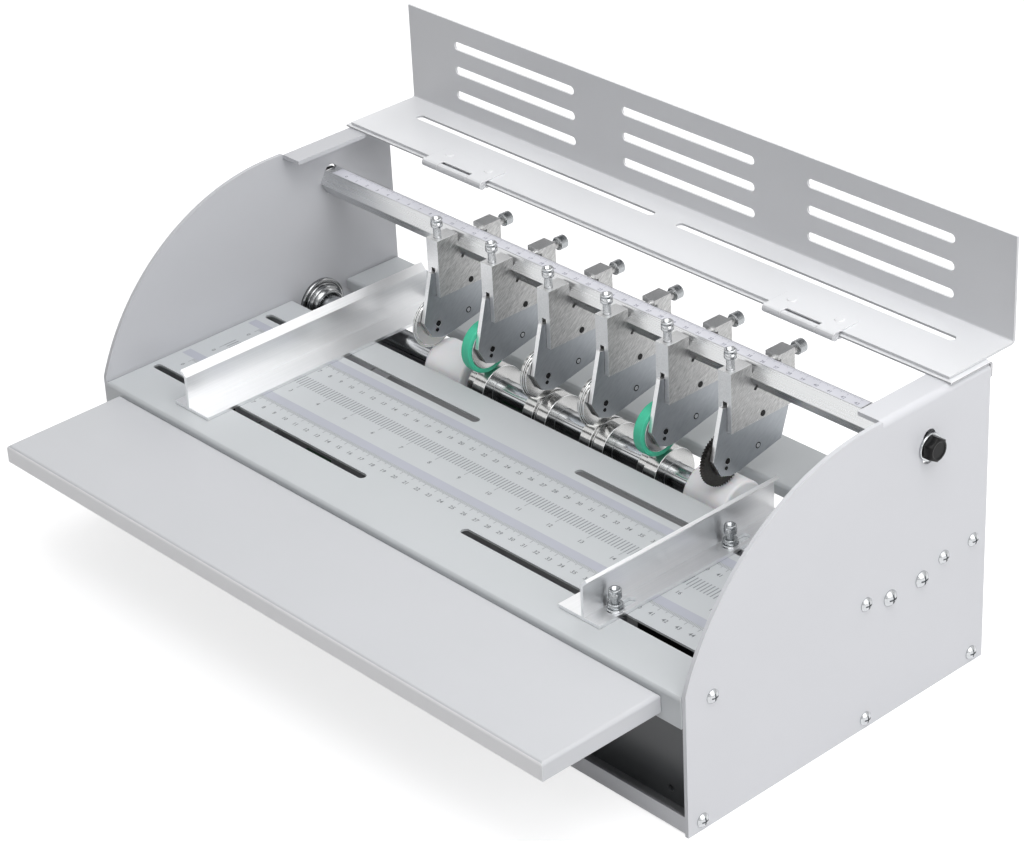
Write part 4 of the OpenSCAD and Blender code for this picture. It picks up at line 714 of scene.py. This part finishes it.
# Each kind of tick: its pitch, and how much longer it is than the kind before
TABLE_TICKS_MM = ((1, 2.4), (5, 1.2), (10, 1.2))
RULER_HALF_MM, CM_ZERO, LINE_MM, NUMBER_MM, CM_MM = 242.5, 23, 0.36, 2.9, 10
ink_z = TABLE_TOP_MM + INK_CLEAR_MM
first_cm = -CM_MM * CM_ZERO
cm_count = int((RULER_HALF_MM - first_cm) // CM_MM) + 1
work = bmesh.new()
for band_low, band_high, number_y in BANDS_MM:
    middle, width = FRONT_MM + (band_low + band_high) / 2, band_high - band_low
    print_row(work, (0, middle, ink_z), 0, 1, (2 * RULER_HALF_MM, width, INK_MM), BAND)
    reach = 0.0
    for pitch, longer in TABLE_TICKS_MM:
        y, count = FRONT_MM + band_low - reach - longer / 2, (cm_count - 1) * (CM_MM // pitch) + 1
        print_row(work, (first_cm, y, ink_z), pitch, count, (LINE_MM, longer, INK_MM), PALE)
        reach += longer
    for i in range(cm_count):
        print_number(work, str(i), first_cm + CM_MM * i, FRONT_MM + number_y, ink_z, NUMBER_MM, DARK)
# Sixteenths would be finer than the picture's pixels, so the inch is drawn in tenths
INCH_MM, INCH_ZERO_MM, INCH_PARTS = 25.4, -230.4, 10
HATCH_Y_MM, INCH_LINE_Y_MM, INCH_NUMBER_Y_MM = 83.25, 76.5, 70
HATCH_MM, INCH_LINE_MM = (0.8, 9.5, INK_MM), (0.4, 4.0, INK_MM)
inches = int((RULER_HALF_MM - INCH_ZERO_MM) // INCH_MM)
hatch_count = inches * INCH_PARTS + 1
print_row(work, (INCH_ZERO_MM, FRONT_MM + HATCH_Y_MM, ink_z), INCH_MM / INCH_PARTS, hatch_count, HATCH_MM, PALE)
print_row(work, (INCH_ZERO_MM, FRONT_MM + INCH_LINE_Y_MM, ink_z), INCH_MM, inches + 1, INCH_LINE_MM, PALE)
for i in range(inches + 1):
    print_number(work, str(i), INCH_ZERO_MM + i * INCH_MM, FRONT_MM + INCH_NUMBER_Y_MM, ink_z, NUMBER_MM, DARK)
print("ruler faces:", len(work.faces))
new_piece("table_rulers", closed_mesh("table_rulers", work, INKS), None, body_of_node["feed_table"])

# %% Strip on the bar
STRIP_MM, STRIP_FROM_MM, STRIP_TO_MM, STRIP_EDGE_MM = 8.4, -241, 205, 0.3
STRIP_TICKS_MM, STRIP_LINE_MM = ((1, 1.2), (5, 0.8), (10, 0.8)), 0.18
STRIP_NUMBER_Y_MM, STRIP_NUMBER_MM = -1.9, 2.3
strip_z = BAR_HIGH.z + INK_CLEAR_MM
strip_middle, strip_size = (STRIP_FROM_MM + STRIP_TO_MM) / 2, (STRIP_TO_MM - STRIP_FROM_MM, STRIP_MM, INK_MM)
work = bmesh.new()
print_row(work, (strip_middle, BAR_Y, strip_z), 0, 1, strip_size, FILM)
mark_z = strip_z + INK_CLEAR_MM
strip_cm = int((STRIP_TO_MM - first_cm) // CM_MM) + 1
reach = STRIP_EDGE_MM
for pitch, longer in STRIP_TICKS_MM:
    y, count = BAR_Y + STRIP_MM / 2 - reach - longer / 2, (strip_cm - 1) * (CM_MM // pitch) + 1
    print_row(work, (first_cm, y, mark_z), pitch, count, (STRIP_LINE_MM, longer, INK_MM), FILM_INK)
    reach += longer
for i in range(strip_cm):
    print_number(work, str(i), first_cm + CM_MM * i, BAR_Y + STRIP_NUMBER_Y_MM, mark_z, STRIP_NUMBER_MM, FILM_INK)
new_piece("bar_strip", closed_mesh("bar_strip", work, INKS), None, body_of_node["tool_bar"])
print("strip numbers:", strip_cm)

# %% [markdown]
# ## Floor, light and sky
# A white sweep with large soft lamps is the plainest product light. The floor shows white to the camera but still takes
# the machine's shadow. Polished steel only looks like steel when it has something to mirror, so the sky that glossy
# rays see has dark gaps between its white panels, as a studio has between its soft boxes. Four narrow lamps along the
# machine add bright lines to its shaft and rollers.

# %% Floor
FLOOR_SIZE, FLOOR_DROP_MM, FLOOR_GLOW = 8.0, 0.05, 0.72
floor_mesh = bpy.data.meshes.new("floor")
half = FLOOR_SIZE / 2
corners = ((-half, -half), (half, -half), (half, half), (-half, half))
floor_mesh.from_pydata([(x, y, -FLOOR_DROP_MM * MM) for x, y in corners], [], [(0, 1, 2, 3)])
floor = bpy.data.objects.new("floor", floor_mesh)
bpy.context.scene.collection.objects.link(floor)
floor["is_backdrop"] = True

pale, tree, shader, where = new_material("pale floor", "#BFBFC0", 0.0, 0.9)
path = add(tree, "ShaderNodeLightPath")
either = add(tree, "ShaderNodeMath", {}, {0: path.outputs["Is Camera Ray"], 1: path.outputs["Is Glossy Ray"]},
             operation="ADD")
seen = add(tree, "ShaderNodeMath", {}, {0: either.outputs[0], 1: path.outputs["Is Transmission Ray"]}, operation="ADD")
seen.use_clamp = True
glow = add(tree, "ShaderNodeEmission", {"Color": linear("#FFFFFF"), "Strength": FLOOR_GLOW})
mixed = add(tree, "ShaderNodeMixShader", {}, {0: seen.outputs[0], 1: shader.outputs["BSDF"]})
both = add(tree, "ShaderNodeAddShader", {}, {0: shader.outputs["BSDF"], 1: glow.outputs["Emission"]})
tree.links.new(both.outputs["Shader"], mixed.inputs[2])
tree.links.new(mixed.outputs["Shader"], tree.nodes["Material Output"].inputs["Surface"])
floor_mesh.materials.append(pale)
print("floor:", FLOOR_SIZE, "m square")

# %% Sky
world = bpy.data.worlds.new("studio")
bpy.context.scene.world = world
world.use_nodes = True
tree = world.node_tree
tree.nodes.clear()
SKY_FRONT, SKY_BACK, MIRRORED_SKY = 0.10, 0.66, 1.12
ray = add(tree, "ShaderNodeTexCoord").outputs["Generated"]
parts = add(tree, "ShaderNodeSeparateXYZ", {}, {0: ray})
sweep = add(tree, "ShaderNodeMath", {}, {0: parts.outputs["Z"], 1: parts.outputs["Y"]}, operation="ARCTAN2")
share = add(tree, "ShaderNodeMapRange", {"From Min": -math.pi, "From Max": math.pi}, {"Value": sweep.outputs[0]})
panels = add(tree, "ShaderNodeValToRGB", {}, {"Fac": share.outputs["Result"]})
# Each stop: its share of a turn round the X axis, from the front under the floor to the back and over the top, and its
# tone
PANELS = ((0.0, 0.75), (0.50, 0.85), (0.535, 0.75), (0.60, 0.75), (0.61, 1.0), (0.675, 1.0), (0.685, 0.15),
          (0.755, 0.15), (0.765, 1.0), (0.805, 1.0), (0.811, 0.10), (0.832, 0.10), (0.838, 1.0), (0.874, 1.0),
          (0.88, 0.10), (0.898, 0.10), (0.904, 1.0), (0.965, 1.0), (0.971, 0.15), (0.985, 0.15), (0.991, 1.0),
          (1.0, 0.75))
ramp = panels.color_ramp
for i, (turn_share, tone) in enumerate(PANELS):
    stop = ramp.elements[i] if i < 2 else ramp.elements.new(turn_share)
    stop.position, stop.color = turn_share, (tone, tone, tone, 1)
depth = {"From Min": -1.0, "From Max": 1.0, "To Min": SKY_FRONT, "To Max": SKY_BACK}
level_by_depth = add(tree, "ShaderNodeMapRange", depth, {"Value": parts.outputs["Y"]})
path = add(tree, "ShaderNodeLightPath")
diffuse_sky = add(tree, "ShaderNodeBackground", {"Color": linear("#FFFFFF")},
                  {"Strength": level_by_depth.outputs["Result"]})
camera_sky = add(tree, "ShaderNodeBackground", {"Color": linear("#FFFFFF"), "Strength": 1.0})
glossy_sky = add(tree, "ShaderNodeBackground", {"Strength": MIRRORED_SKY}, {"Color": panels.outputs["Color"]})
mirror = add(tree, "ShaderNodeMixShader", {}, {0: path.outputs["Is Glossy Ray"], 1: diffuse_sky.outputs[0],
                                              2: glossy_sky.outputs[0]})
seen = add(tree, "ShaderNodeMath", {}, {0: path.outputs["Is Camera Ray"], 1: path.outputs["Is Transmission Ray"]},
           operation="MAXIMUM")
whole = add(tree, "ShaderNodeMixShader", {}, {0: seen.outputs[0], 1: mirror.outputs[0], 2: camera_sky.outputs[0]})
add(tree, "ShaderNodeOutputWorld", {}, {"Surface": whole.outputs[0]})
print("sky panels:", len(PANELS))

# %% Lamps
CENTRE = Vector((0, 0, 0.09))
# Each lamp: azimuth and elevation in degrees, distance, width and height in metres, and power in watts
LAMPS = (("key", 62, 66, 2.2, 1.5, 1.5, 24), ("fill", 92, 26, 2.4, 1.8, 1.8, 20), ("rim", 190, 50, 2.4, 1.4, 1.4, 10),
         ("strip_low", 0, 22, 2.2, 2.4, 0.08, 1.3), ("strip_middle", 0, 44, 2.2, 2.4, 0.08, 1.3),
         ("strip_high", 0, 68, 2.2, 2.4, 0.08, 1.3), ("strip_back", 180, 74, 2.2, 2.4, 0.08, 1.3))
for name, azimuth, elevation, away, wide, tall, power in LAMPS:
    way = towards(math.radians(azimuth), math.radians(elevation))
    lamp = bpy.data.objects.new(name, bpy.data.lights.new(name, "AREA"))
    lamp.data.shape, lamp.data.size, lamp.data.size_y, lamp.data.energy = "RECTANGLE", wide, tall, power
    lamp.matrix_world = Matrix.Translation(CENTRE + way * away) @ way.to_track_quat("Z", "Y").to_matrix().to_4x4()
    lamp.visible_camera = False
    bpy.context.scene.collection.objects.link(lamp)
bpy.context.scene.view_settings.view_transform = "Standard"

# %% Sizes and finish
low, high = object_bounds()
